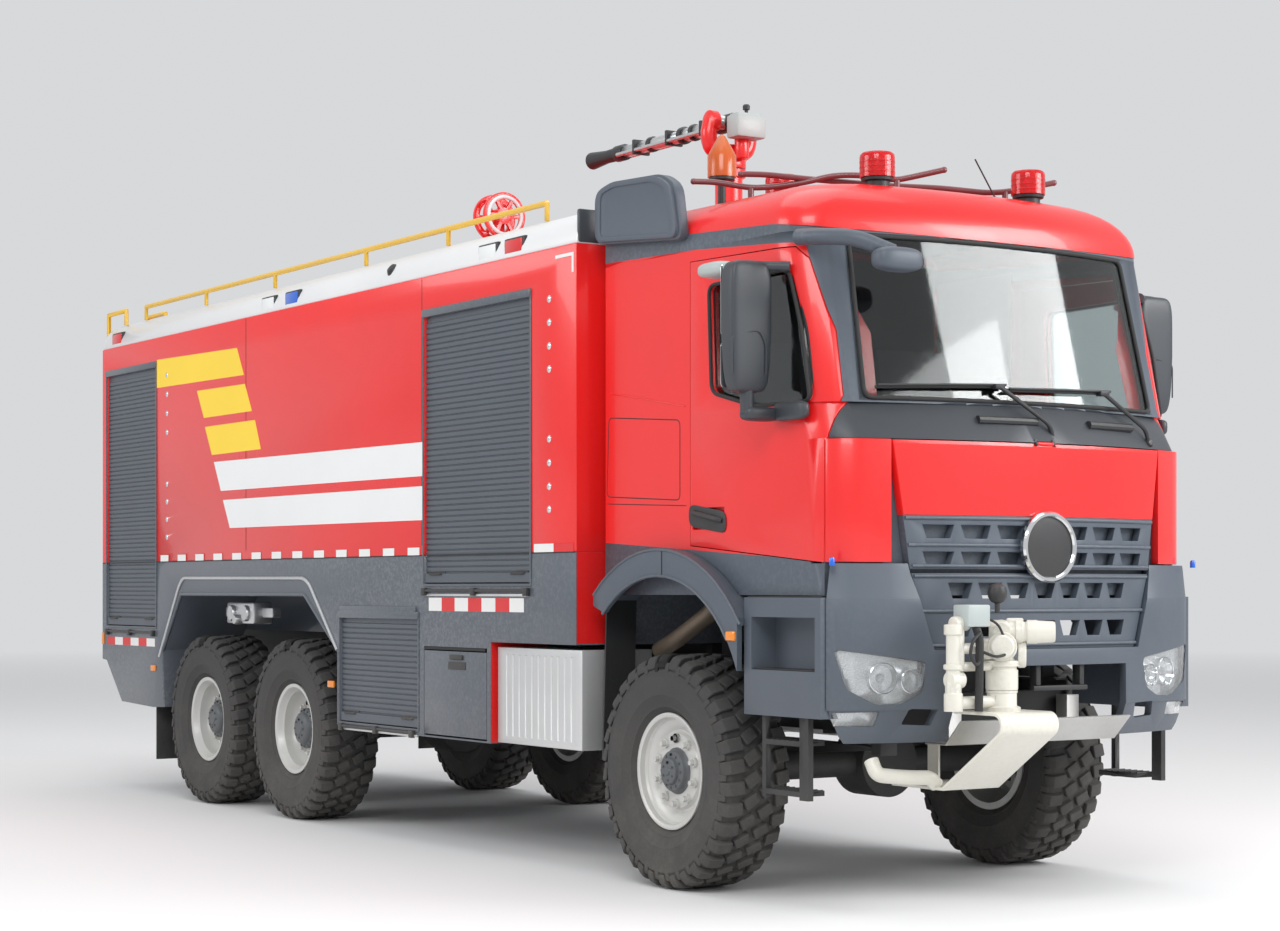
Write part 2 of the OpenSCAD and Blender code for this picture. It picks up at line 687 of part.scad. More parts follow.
module cab_interior() {
  color(black) {
    // Dashboard
    both() span([280, FRONT[0].x + bow_back(340, skin + wall) + bow_sag + seat, 1950], [340, -1200, 2050]);
    profile([[-1235, 1900], [-1190, 2250], [-1120, 2370], [-820, 2330], [-780, 2150], [-900, 1900]], -860, 860);
    both() {
      span([280, -350, cab_floor + wall], [800, 180, 2050]);
      span([270, -380, 2050], [810, 150, 2170]);
      profile([[60, 2170], [180, 2170], [290, 2850], [200, 2850]], 290, 790);
    }
    // Steering column and wheel
    translate([540, -650, 2300]) rotate([-35, 0, 0]) {
      rotate_extrude() translate([215, 0]) circle(d = 34, $fn = 16);
      cylinder(d = 110, h = 40, center = true);
      for (a = [0, 120, 240]) rotate([0, 0, a]) span([0, -20, -8], [205, 20, 8]);
      translate([0, 0, -260]) cylinder(d = 70, h = 250);
    }
  }
}
DEFLECTOR = [[cab_rear + 17, 3374], [cab_rear + 17, 3650], [cab_rear - 120, 3690], [90, 3665], [-41, 3592], [-95, 3305]];
module side_deflectors() {
  color(grey) both() difference() {
    union() {
      profile(rounded(DEFLECTOR, 60), half_cab + seat, half_cab + 50);
      profile(rounded(shrink(DEFLECTOR, 22), 60), half_cab + 49, half_cab + 72);
    }
    profile(rounded(shrink(DEFLECTOR, 75), 40), half_cab + 64, half_cab + 73);
  }
}
// Two cranked tubes over the cab roof, and the points of each that a post carries
TUBES = [[[-981, 120, 3648], [-888, 59, 3645], [-732, -43, 3614], [-640, -103, 3619], [-497, -197, 3642],
    [-380, -274, 3678], [-267, -348, 3681], [-97, -459, 3655], [-41, -495, 3668], [107, -592, 3707]],
  [[-815, -70, 3675], [-690, -119, 3677], [-480, -201, 3661], [-66, -363, 3640], [190, -462, 3638],
    [425, -554, 3621], [525, -593, 3629], [629, -634, 3652], [778, -692, 3686]]];
TUBE_POSTS = [[2, 7], [3, 6]];
tube_d = 30;
module light_bar() {
  color(black) for (i = [0 : 1]) {
    tube(TUBES[i], tube_d);
    for (k = TUBE_POSTS[i]) translate([TUBES[i][k].x, TUBES[i][k].y, cab_top]) cylinder(d = tube_d + 10, h = TUBES[i][k].z - cab_top);
  }
}
// Beacons: place on the cab roof
BEACONS = [[-500, -800], [500, -800], [-500, 0], [700, 150]];
// Foot of a beacon under its lens: radius, height
BEACON_FOOT = [[0, 0], [62, 0], [62, 32], [80, 36], [80, 48]];
AMBER_BEACON = [[0, 0], [22, 0], [22, 200], [72, 204], [78, 215], [78, 330], [66, 352], [14, 440], [0, 450]];
module beacons() {
  color("red") {
    for (b = BEACONS) translate([b.x, b.y, cab_top]) rotate_extrude() polygon(concat(BEACON_FOOT,
      [[beacon_d / 2, 52], [beacon_d / 2 - 2, 40 + beacon_h], [beacon_d / 2 - 12, 48 + beacon_h], [0, 48 + beacon_h]]));
    translate([-600, 410, cab_top]) rotate_extrude() polygon(AMBER_BEACON);
  }
}
mirror_y = -845;
// Housing in plan: in from the door, width, depth; its low and high ends, and the seam between its two mirrors
mirror_gap = 65;
mirror_w = 240;
mirror_d = 120;
MIRROR_Z = [2480, 2725, 3100];
module mirror_plan(inset, z0, z1) {
  x0 = half_cab + mirror_gap;
  translate([0, 0, z0]) linear_extrude(z1 - z0) polygon(rounded([[x0 + inset, mirror_y - mirror_d / 2 + inset],
    [x0 + mirror_w - inset, mirror_y - mirror_d / 2 + inset], [x0 + mirror_w - inset, mirror_y + mirror_d / 2 - inset],
    [x0 + inset, mirror_y + mirror_d / 2 - inset]], 28));
}
// Arm in plan from the door to the housing
module mirror_arm(z0, z1, y0, y1) {
  translate([0, 0, z0]) linear_extrude(z1 - z0)
    polygon([[half_cab + seat, y0], [half_cab + mirror_gap + 20, mirror_y - 45], [half_cab + mirror_gap + mirror_w - 60, mirror_y - 45],
      [half_cab + mirror_gap + mirror_w - 60, mirror_y + 30], [half_cab + seat, y1]]);
}
module mirror_unit(left) {
  color(black) side(left) {
    mirror_plan(0, MIRROR_Z[1] + 3, MIRROR_Z[2]);
    mirror_plan(8, MIRROR_Z[1] - 10, MIRROR_Z[1] + 10);
    mirror_plan(0, MIRROR_Z[0], MIRROR_Z[1] - 3);
    mirror_arm(MIRROR_Z[2] - 45, MIRROR_Z[2] - 5, -1000, -900);
    mirror_arm(MIRROR_Z[0] - 140, MIRROR_Z[0] - 90, -1120, -880);
    mirror_plan(30, MIRROR_Z[0] - 140, MIRROR_Z[0] + 10);
  }
}

// Body

// Roll shutters on each side: [y, z] low, [y, z] high
SHUTTERS = [[[1298, 1560], [2546, 3170]], [[6778, 1247], [7786, 3195]], [[2623, 690], [3682, 1370]]];
REAR_SHUTTER = [[-900, 1300], [900, 3150]];
toolbox = [[1782, 660], [2546, 1190]];
arch_top = 1480;
LOWER = [[body_front, body_floor], [1740, body_floor], [1740, 650], [3711, 650], [3711, 1128], [4216, arch_top],
  [6298, arch_top], [6641, 1079], [6602, 660], [6837, 650], [7467, 670], [7790, 977], [body_rear, 985],
  [body_rear, body_seam], [body_front, body_seam]];
module shutter_recess(s) {
  span([half_body - shutter_depth, s[0].x, s[0].y], [half_body + 1, s[1].x, s[1].y]);
}
module body_upper() {
  color(red) difference() {
    span([-half_body, body_front, body_seam], [half_body, body_rear, body_top]);
    both() for (s = SHUTTERS) shutter_recess(s);
    span([REAR_SHUTTER[0].x, body_rear - shutter_depth, REAR_SHUTTER[0].y],
      [REAR_SHUTTER[1].x, body_rear + 1, REAR_SHUTTER[1].y]);
  }
}
module body_lower() {
  locker_in = half_body - locker_depth;
  color(grey) both() hinge_pins(hinge_d, 60);
  color(grey) difference() {
    union() {
      span([-half_body, body_front, body_floor], [half_body, body_rear, body_seam]);
      both() profile(LOWER, locker_in, half_body);
    }
    both() profile([[3711, 640], [3711, 1128], [4216, arch_top], [6298, arch_top], [6641, 1079], [6602, 640]],
      locker_in - 1, half_body + 1);
    both() for (s = SHUTTERS) shutter_recess(s);
    both() span([half_body - locker_depth + box_t, toolbox[0].x, toolbox[0].y],
      [half_body + 1, toolbox[1].x, toolbox[1].y]);
    span([REAR_SHUTTER[0].x, body_rear - shutter_depth, REAR_SHUTTER[0].y],
      [REAR_SHUTTER[1].x, body_rear + 1, REAR_SHUTTER[1].y]);
  }
}
rail_out = 14;
module side_shutters() {
  in0 = half_body - shutter_depth;
  color(grey) {
    both() for (s = SHUTTERS) {
      span([in0, s[0].x + 1, s[0].y + 1], [in0 + shutter_t, s[1].x - 1, s[1].y - 1]);
      // Head rail, and the bar along the bottom
      span([in0, s[0].x + 1, s[1].y - head_rail / 2], [half_body + rail_out, s[1].x - 1, s[1].y - 1]);
      span([half_body + seat, s[0].x - 15, s[1].y - head_rail / 2], [half_body + rail_out, s[1].x + 15, s[1].y + head_rail / 2]);
      span([in0, s[0].x + 1, s[0].y + 1], [half_body + rail_out / 2, s[1].x - 1, s[0].y + head_rail / 2]);
    }
    span([REAR_SHUTTER[0].x + 1, body_rear - shutter_depth, REAR_SHUTTER[0].y + 1],
      [REAR_SHUTTER[1].x - 1, body_rear - shutter_depth + shutter_t, REAR_SHUTTER[1].y - 1]);
  }
}
hinge_d = 10;
hinge_in = 12;
hinge_z = toolbox[0].y + hinge_in + 10;
module hinge_pins(d, l) {
  for (y = [toolbox[0].x, toolbox[1].x]) translate([half_body - hinge_in, y, hinge_z])
    rotate([90, 0, 0]) cylinder(d = d, h = l, center = true);
}
module toolbox_door(left) {
  color(grey) side(left) difference() {
    span([half_body - box_t, toolbox[0].x + gap, hinge_z - hinge_in], [half_body, toolbox[1].x - gap, toolbox[1].y - 25]);
    hinge_pins(hinge_d + 2 * run, 80);
  }
}
cornice_r = 200;
cornice_w = 325;
cornice_in = half_body - cornice_w;
module cornices() {
  color("white") both() translate([0, body_rear, 0]) rotate([90, 0, 0]) linear_extrude(body_rear - body_front)
    intersection() {
      union() {
        translate([half_body - 5 - cornice_r, body_top]) circle(r = cornice_r);
        translate([cornice_in, body_top]) square([half_body - 5 - cornice_r - cornice_in, cornice_r]);
      }
      translate([cornice_in, body_top]) square([400, 400]);
    }
}
// Height of the cornice over the roof under the inner edge of a rail tube at x
function cornice_foot(x) = let (edge = abs(x) - rail_d / 2) edge < cornice_in ? 0
  : edge < half_body - 5 - cornice_r ? cornice_r
  : sqrt(pow(cornice_r, 2) - pow(edge - half_body + 5 + cornice_r, 2));
rail_x = half_body - 135;
POSTS = [1340, 2490, 3580, 4960, 6150, 7310];
LADDER = [-half_body + 95, -half_body + 415];
module roof_rails() {
  z = rail_top - rail_d / 2;
  color("gold") both() {
    bar([rail_x, POSTS[0], z], [rail_x, POSTS[5], z], rail_d);
    for (y = POSTS) bar([rail_x, y, body_top + cornice_foot(rail_x)], [rail_x, y, z], rail_d - 6);
  }
  // Rear ladder on the right, hooked over the roof edge
  color("gold") for (x = LADDER) {
    bar([x, 7620, rail_top - 20], [x, body_rear + ladder_reach - rail_d / 2, rail_top - 20], rail_d);
    bar([x, body_rear + ladder_reach - rail_d / 2, 1000], [x, body_rear + ladder_reach - rail_d / 2, rail_top - 20], rail_d);
    for (z = [1100, 2200, 3250])
      span([x - 12, body_rear, z], [x + 12, body_rear + ladder_reach - rail_d / 2, z + 24]);
    // Foot on the cornice
    bar([x, 7620, body_top + cornice_foot(x)], [x, 7620, rail_top - 20], rail_d);
  }
  color("gold") for (z = [1000 : 300 : 3400])
    bar([LADDER[0], body_rear + ladder_reach - rail_d / 2, z], [LADDER[1], body_rear + ladder_reach - rail_d / 2, z], 26);
}
side_box = [[790, 660], [1700, 1200]];
silencer_deep = 450;
tank_deep = 530;
box_out = half_body - 25;
module silencer_box() {
  color("silver") mirror([1, 0, 0]) difference() {
    span([box_out - silencer_deep, side_box[0].x, side_box[0].y], [box_out, side_box[1].x, side_box[1].y]);
    for (y = [side_box[0].x + 90 : 70 : side_box[1].x - 80])
      span([box_out - 6, y, side_box[0].y + 40], [box_out + 1, y + 25, side_box[1].y - 40]);
  }
}
module fuel_tank() {
  color("silver") span([box_out - tank_deep, side_box[0].x, side_box[0].y], [box_out, side_box[1].x, side_box[1].y]);
}
reel_x = -half_body + 415;
reel_r = 140;
module hose_reel() {
  color(red) translate([reel_x, 2300, 3760]) rotate([-90, 0, 0]) {
    for (z = [0, 120]) translate([0, 0, z]) {
      difference() {
        cylinder(r = reel_r, h = 20);
        translate([0, 0, -1]) cylinder(r = reel_r - 35, h = 22);
      }
      for (a = [0, 60, 120]) rotate([0, 0, a]) span([-reel_r + 20, -11, 0], [reel_r - 20, 11, 20]);
    }
    cylinder(r = 50, h = 130);
  }
  color(red) span([reel_x - 20, 2340, body_top], [reel_x + 20, 2400, 3730]);
}

// Monitors

module roof_monitor_base() {
  color(red) translate([0, roof_monitor_y, body_top]) {
    cylinder(d = 300, h = 30);
    cylinder(d = 160, h = 560);
    cylinder(d = spigot_d, h = 560 + 50);
  }
}
spigot_d = 90;
trunnion_d = 50;
turret_z = body_top + 560 + gap;
module roof_monitor_turret() {
  color(red) translate([0, roof_monitor_y, 0]) difference() {
    union() {
      translate([0, 0, turret_z]) cylinder(d = 200, h = 100);
      for (x = [-150, 90]) span([x, -60, turret_z + 60], [x + 60, 60, roof_monitor_z + 60]);
      span([-150, -60, turret_z + 60], [150, 60, turret_z + 100]);
      // Gear housing in front of the tilt axis, on a riser
      span([-60, -170, turret_z + 30], [60, -110, roof_monitor_z - 60]);
      span([-60, -170, turret_z + 30], [60, 0, turret_z + 60]);
      translate([0, 0, roof_monitor_z - 120]) linear_extrude(140)
        polygon(rounded([[-105, -240], [105, -240], [105, -110], [-105, -110]], 25));
      translate([0, -175, roof_monitor_z]) cylinder(d = 44, h = 82);
    }
    translate([0, 0, turret_z - 1]) cylinder(d = spigot_d + 2 * run, h = 56);
    translate([0, 0, roof_monitor_z]) axle_tube(-151, 151, trunnion_d + 2 * run);
  }
}
// Half section of the barrel: radius, distance from the tilt axis
ROOF_BARREL = [[0, -60], [55, -60], [55, 90], [42, 110], [42, 330], [55, 345], [55, 480], [40, 500], [36, roof_barrel - 320],
  [52, roof_barrel - 300], [52, roof_barrel - 200], [42, roof_barrel - 180], [58, roof_barrel], [0, roof_barrel]];
module roof_monitor_barrel() {
  color(black) translate([0, roof_monitor_y, roof_monitor_z]) {
    rotate([-90, 0, 0]) rotate_extrude() polygon(ROOF_BARREL);
    // Foam pipes beside the barrel
    for (x = [-48, 48]) rotate([-90, 0, 0]) translate([x, 20, 60]) cylinder(d = 30, h = roof_barrel - 360);
    axle_tube(-90 + gap, 90 - gap, 90);
    axle_tube(-150, 150, trunnion_d);
  }
}
bracket_x = -bumper_monitor_x;
monitor_y = -1700;
bracket_t = 14;
bracket_bend = -1480;
bracket_z = 578;
// Rolled front edge of the bracket, from where its slope ends round to its top
function roll(r) = [for (a = [235 : -14.5 : 90]) [-front_reach + roll_r + r * cos(a), bracket_top - roll_r + r * sin(a)]];
function reversed(p) = [for (i = [len(p) - 1 : -1 : 0]) p[i]];
pipe_x = bracket_x - 295;
module monitor_bracket() {
  color(cream) {
    profile(concat([[-1100, bracket_z], [bracket_bend, bracket_z]], roll(roll_r),
        [[-1560, bracket_top], [-1560, bracket_top - bracket_t]], reversed(roll(roll_r - bracket_t)),
        [[bracket_bend + 6, bracket_z + bracket_t], [-1100, bracket_z + bracket_t]]),
      bracket_x - bracket_w / 2, bracket_x + bracket_w / 2);
    translate([bracket_x, monitor_y, bracket_top - 1]) {
      cylinder(d = 140, h = 91);
      cylinder(d = 80, h = 91 + 50);
    }
    // Supply pipe beside the monitor
    translate([0, monitor_y, bracket_top + 45]) axle_tube(pipe_x, bracket_x, 56);
    translate([pipe_x, monitor_y, bracket_top + 5]) rotate_extrude() polygon(SUPPLY_PIPE);
    span([-half_rails, -1180, bracket_z + bracket_t], [-half_rails + 12, -1100, rail_z]);
  }
}
// Half section of the supply pipe: radius, height
SUPPLY_PIPE = [[0, 0], [44, 0], [44, 80], [34, 90], [34, 190], [46, 195], [46, 215], [34, 220], [34, 350], [44, 356], [44, 400], [0, 410]];
monitor_z = 1330;
module at_monitor() { translate([bracket_x, monitor_y, 0]) rotate([0, 0, heading]) children(); }
module bumper_monitor_turret() {
  color(cream) at_monitor() difference() {
    union() {
      translate([0, 0, bracket_top + 90 + gap]) cylinder(d = 150, h = 140);
      for (x = [-110, 60]) span([x, -50, bracket_top + 180], [x + 50, 50, monitor_z + 60]);
      span([-110, -50, bracket_top + 180], [110, 50, bracket_top + 225]);
      // Motor box beside one arm, with its hand knob
      span([-190, -60, monitor_z - 40], [-70, 60, monitor_z + 140]);
      translate([-130, 0, monitor_z + 130]) cylinder(d = 44, h = 100);
    }
    translate([0, 0, bracket_top + 90]) cylinder(d = 80 + 2 * run, h = 56);
    translate([0, 0, monitor_z]) axle_tube(-111, 111, 40 + 2 * run);
  }
}
bumper_barrel = 250;
// Half section of the barrel: radius, distance from the tilt axis
BUMPER_BARREL = [[0, -50], [42, -50], [50, -40], [50, 60], [54, 66], [54, 84], [44, 90], [44, 120],
  [60, 130], [56, bumper_barrel], [0, bumper_barrel]];
module bumper_monitor_barrel() {
  color(cream) at_monitor() translate([0, 0, monitor_z]) {
    rotate([90, 0, 0]) rotate_extrude() polygon(BUMPER_BARREL);
    axle_tube(-60 + gap, 60 - gap, 80);
    axle_tube(-110, 110, 40);
  }
}

placed() chassis_frame();
placed() engine_block();
placed() driveline();
placed() front_axle();
placed() rear_axles();
placed() leaf_springs();
placed() knuckle(true);  // knuckle_left
placed() knuckle(false);  // knuckle_right
placed() tyre(true, 0);  // tyre_front_left
placed() tyre(false, 0);  // tyre_front_right
placed() tyre(true, bogie_1);  // tyre_mid_left
placed() tyre(false, bogie_1);  // tyre_mid_right
placed() tyre(true, bogie_2);  // tyre_rear_left
placed() tyre(false, bogie_2);  // tyre_rear_right
placed() rim(true, 0, front_disc, front_hub);  // rim_front_left
placed() rim(false, 0, front_disc, front_hub);  // rim_front_right
placed() rim(true, bogie_1, rear_disc, rear_hub);  // rim_mid_left
placed() rim(false, bogie_1, rear_disc, rear_hub);  // rim_mid_right
placed() rim(true, bogie_2, rear_disc, rear_hub);  // rim_rear_left
placed() rim(false, bogie_2, rear_disc, rear_hub);  // rim_rear_right
placed() cab_shell();
placed() corner_panels();
placed() cab_trim();
placed() windscreen();
placed() cab_interior();
placed() side_deflectors();
placed() door(true);  // door_left
placed() door(false);  // door_right
placed() door_glass(true);  // door_glass_left
placed() door_glass(false);  // door_glass_right
placed() mirror_unit(true);  // mirror_left
placed() mirror_unit(false);  // mirror_right
placed() front_flap();
placed() grille_upper();
placed() grille_lower();
placed() bumper();
placed() headlamps();
placed() underrun_plate();
placed() cab_steps();
placed() front_fenders();
placed() mudflaps();
placed() light_bar();
placed() beacons();
placed() body_upper();
placed() body_lower();
placed() side_shutters();
placed() toolbox_door(true);  // toolbox_door_left
placed() toolbox_door(false);  // toolbox_door_right
placed() cornices();
placed() roof_rails();
placed() silencer_box();
placed() fuel_tank();
placed() hose_reel();
placed() roof_monitor_base();
placed() roof_monitor_turret();
placed() roof_monitor_barrel();
placed() monitor_bracket();
placed() bumper_monitor_turret();
placed() bumper_monitor_barrel();
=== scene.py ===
"""Airport fire truck: looks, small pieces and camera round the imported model."""
import bpy
import json
import math
from mathutils import Matrix, Vector

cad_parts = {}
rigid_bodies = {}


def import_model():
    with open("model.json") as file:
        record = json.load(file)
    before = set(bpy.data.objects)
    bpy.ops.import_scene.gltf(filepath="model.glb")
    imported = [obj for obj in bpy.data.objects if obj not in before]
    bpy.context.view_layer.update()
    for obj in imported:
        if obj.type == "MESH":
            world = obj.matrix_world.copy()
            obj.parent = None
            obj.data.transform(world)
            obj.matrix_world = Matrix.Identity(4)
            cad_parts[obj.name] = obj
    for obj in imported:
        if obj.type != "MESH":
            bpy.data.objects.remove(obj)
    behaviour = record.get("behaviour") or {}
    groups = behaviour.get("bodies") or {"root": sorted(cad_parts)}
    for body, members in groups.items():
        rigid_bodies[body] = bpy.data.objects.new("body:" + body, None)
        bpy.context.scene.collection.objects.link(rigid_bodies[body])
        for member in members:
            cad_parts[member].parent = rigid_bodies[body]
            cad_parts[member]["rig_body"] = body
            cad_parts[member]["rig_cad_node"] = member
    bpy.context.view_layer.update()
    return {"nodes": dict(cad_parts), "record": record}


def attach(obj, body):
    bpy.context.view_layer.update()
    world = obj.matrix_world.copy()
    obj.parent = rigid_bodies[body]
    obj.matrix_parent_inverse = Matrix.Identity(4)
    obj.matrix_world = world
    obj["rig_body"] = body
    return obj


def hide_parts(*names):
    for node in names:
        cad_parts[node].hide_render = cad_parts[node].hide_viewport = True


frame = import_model()
BODY_OF = {n: b for b, members in frame["record"]["behaviour"]["bodies"].items() for n in members}
AXLE_Y = -3.055          # the front axle, in the frame


def at(x, y, z):
    """A place given by its distance behind the front axle."""
    return Vector((x, y + AXLE_Y, z))


# Camera and lamps

camera = bpy.data.objects.new("camera", bpy.data.cameras.new("camera"))
bpy.context.scene.collection.objects.link(camera)
camera.location = at(-8.1116, -10.3528, 1.5336)
camera.rotation_euler = (math.radians(90), 0, -0.5751)
camera.data.sensor_width = 36
camera.data.lens = 68.553
camera.data.shift_x = 0.00127
camera.data.shift_y = 0.09595
camera.data.clip_end = 500
bpy.context.scene.camera = camera
bpy.context.scene.view_settings.view_transform = "Standard"


def lamp(name, place, aim, size, power, colour=(1, 1, 1)):
    data = bpy.data.lights.new(name, "AREA")
    data.shape = "RECTANGLE"
    data.size, data.size_y = size
    data.energy = power
    data.color = colour
    o = bpy.data.objects.new(name, data)
    bpy.context.scene.collection.objects.link(o)
    o.location = place
    o.rotation_euler = (Vector(aim) - Vector(place)).to_track_quat("-Z", "Y").to_euler()


lamp("key_light", (-11, -15, 12), (0, -3, 1.5), (9, 6), 1250)
lamp("front_light", (7, -18, 8), (0, -4, 1.5), (8, 5), 620)
lamp("screen_light", (5.2, -9.6, 6.1), (0, -4.2, 2.8), (4.6, 3.2), 420)
lamp("side_light", (-17, 4, 9), (0, 1, 1.5), (10, 5), 760)
lamp("top_light", (0, 0, 15), (0, 0, 0), (12, 14), 700)


# Materials

def feed(tree, socket, value):
    """Links a socket to what feeds it, or sets its value."""
    if isinstance(value, bpy.types.NodeSocket):
        tree.links.new(value, socket)
    else:
        socket.default_value = value


def add(tree, kind, inputs=None, **settings):
    """A shader node with its settings, and each input linked or set."""
    n = tree.nodes.new(kind)
    for key, value in settings.items():
        setattr(n, key, value)
    for key, value in (inputs or {}).items():
        feed(tree, n.inputs[key], value)
    return n


def between(tree, share, a, b):
    """One colour or the other, by a share."""
    n = add(tree, "ShaderNodeMix", {0: share}, data_type="RGBA")
    for slot, colour in ((6, a), (7, b)):
        feed(tree, n.inputs[slot], (*colour, 1) if isinstance(colour, tuple) else colour)
    return n.outputs[2]


def scaled(tree, value, low, high, to_low=0.0, to_high=1.0):
    """A value carried from one range to another."""
    return add(tree, "ShaderNodeMapRange", {"Value": value, "From Min": low, "From Max": high,
                                            "To Min": to_low, "To Max": to_high}).outputs[0]


def group(name, inputs, outputs):
    """An empty effect group with its sockets."""
    g = bpy.data.node_groups.new(name, "ShaderNodeTree")
    for label, value in inputs.items():
        s = g.interface.new_socket(label, in_out="INPUT", socket_type="NodeSocketFloat")
        s.default_value = value
    for label in outputs:
        g.interface.new_socket(label, in_out="OUTPUT", socket_type="NodeSocketFloat")
    return g, g.nodes.new("NodeGroupInput"), g.nodes.new("NodeGroupOutput")


def noise(tree, place, scale, detail, roughness):
    return add(tree, "ShaderNodeTexNoise", {"Vector": place, "Scale": scale, "Detail": detail,
                                            "Roughness": roughness}).outputs[0]


def maths(tree, operation, a, b):
    return add(tree, "ShaderNodeMath", {0: a, 1: b}, operation=operation).outputs[0]


def dust_group():
    """Road dust: thick near the ground and on upward faces, thin above."""
    g, given, out = group("Road dust", {"Amount": 0.5, "Reach": 1.2}, ["Mask"])
    place = add(g, "ShaderNodeTexCoord").outputs["Object"]
    height = add(g, "ShaderNodeSeparateXYZ", {"Vector": place}).outputs["Z"]
    low = scaled(g, height, 0.0, given.outputs["Reach"], 1.0, 0.0)
    cloud = scaled(g, noise(g, place, 3.5, 6, 0.65), 0.35, 0.75)
    specks = scaled(g, noise(g, place, 60, 4, 0.6), 0.3, 0.7, 0.6, 1.0)
    normal = add(g, "ShaderNodeNewGeometry").outputs["Normal"]
    up = add(g, "ShaderNodeSeparateXYZ", {"Vector": normal}).outputs["Z"]
    shelf = scaled(g, up, 0.5, 1.0, 0.0, 0.35)
    thrown_up = maths(g, "MULTIPLY", low, maths(g, "ADD", cloud, 0.35))
    mask = maths(g, "MULTIPLY", maths(g, "ADD", thrown_up, shelf), specks)
    mask = maths(g, "MINIMUM", maths(g, "MULTIPLY", mask, given.outputs["Amount"]), 1.0)
    g.links.new(mask, out.inputs["Mask"])
    return g


def tone_group():
    """Slow changes of tone over a surface."""
    g, given, out = group("Uneven tone", {"Scale": 1.2, "Depth": 0.1}, ["Shade"])
    place = add(g, "ShaderNodeTexCoord").outputs["Object"]
    cloud = scaled(g, noise(g, place, given.outputs["Scale"], 5.0, 0.6), 0.3, 0.7)
    g.links.new(maths(g, "MULTIPLY", cloud, given.outputs["Depth"]), out.inputs["Shade"])
    return g


def grain_group():
    """Height of a fine grain or of sprayed paint."""
    g, given, out = group("Fine grain", {"Scale": 400.0}, ["Height"])
    place = add(g, "ShaderNodeTexCoord").outputs["Object"]
    g.links.new(noise(g, place, given.outputs["Scale"], 3.0, 0.55), out.inputs["Height"])
    return g


def wear_group():
    """Rubbed edges, broken up by noise."""
    g, given, out = group("Edge wear", {"Amount": 0.5}, ["Mask"])
    place = add(g, "ShaderNodeTexCoord").outputs["Object"]
    edge = scaled(g, add(g, "ShaderNodeNewGeometry").outputs["Pointiness"], 0.53, 0.62)
    spots = scaled(g, noise(g, place, 45, 6, 0.7), 0.45, 0.65)
    mask = maths(g, "MULTIPLY", maths(g, "MULTIPLY", edge, spots), given.outputs["Amount"])
    g.links.new(mask, out.inputs["Mask"])
    return g


DUST, TONE, GRAIN, WEAR = dust_group(), tone_group(), grain_group(), wear_group()
DUST_COLOUR = (0.36, 0.32, 0.27)


def use(tree, effect, output, **values):
    """An effect group placed in a material with its own values."""
    n = tree.nodes.new("ShaderNodeGroup")
    n.node_tree = effect
    for key, value in values.items():
        n.inputs[key.capitalize()].default_value = value
    return n.outputs[output]


def blank(name):
    """A new material, its node tree and its surface shader."""
    m = bpy.data.materials.new(name)
    m.use_nodes = True
    return m, m.node_tree, m.node_tree.nodes["Principled BSDF"]


def finish(name, colour, roughness=0.4, metallic=0.0, coat=0.0, dust=0.3, reach=1.2, tone=0.1, tone_scale=1.2,
           grain=400, bump=0.02, wear=0.0, wear_colour=(0.5, 0.5, 0.5), spread=0.08):
    """A finish with uneven tone, dust, worn edges and a fine surface."""
    m, t, shader = blank(name)
    darker = tuple(c * 0.55 for c in colour)
    base = between(t, use(t, TONE, "Shade", scale=tone_scale, depth=tone * 2), colour, darker)
    if wear:
        base = between(t, use(t, WEAR, "Mask", amount=wear), base, wear_colour)
    grit = use(t, DUST, "Mask", amount=dust, reach=reach)
    t.links.new(between(t, grit, base, DUST_COLOUR), shader.inputs["Base Color"])
    height = use(t, GRAIN, "Height", scale=grain)
    polish = scaled(t, height, 0.3, 0.7, roughness - spread, roughness + spread)
    t.links.new(maths(t, "ADD", polish, maths(t, "MULTIPLY", grit, 0.45)), shader.inputs["Roughness"])
    shader.inputs["Metallic"].default_value = metallic
    shader.inputs["Coat Weight"].default_value = coat
    shader.inputs["Coat Roughness"].default_value = 0.06
    relief = add(t, "ShaderNodeBump", {"Height": height, "Strength": bump, "Distance": 0.01})
    t.links.new(relief.outputs[0], shader.inputs["Normal"])
    return m


def clear(name, colour, roughness=0.05, weight=1.0):
    """Glass or clear plastic."""
    m, t, shader = blank(name)
    base = between(t, use(t, DUST, "Mask", amount=0.1, reach=3.0), colour, DUST_COLOUR)
    t.links.new(base, shader.inputs["Base Color"])
    polish = scaled(t, use(t, GRAIN, "Height", scale=30), 0.3, 0.7, roughness, roughness + 0.04)
    t.links.new(polish, shader.inputs["Roughness"])
    shader.inputs["Transmission Weight"].default_value = weight
    shader.inputs["IOR"].default_value = 1.45
    return m


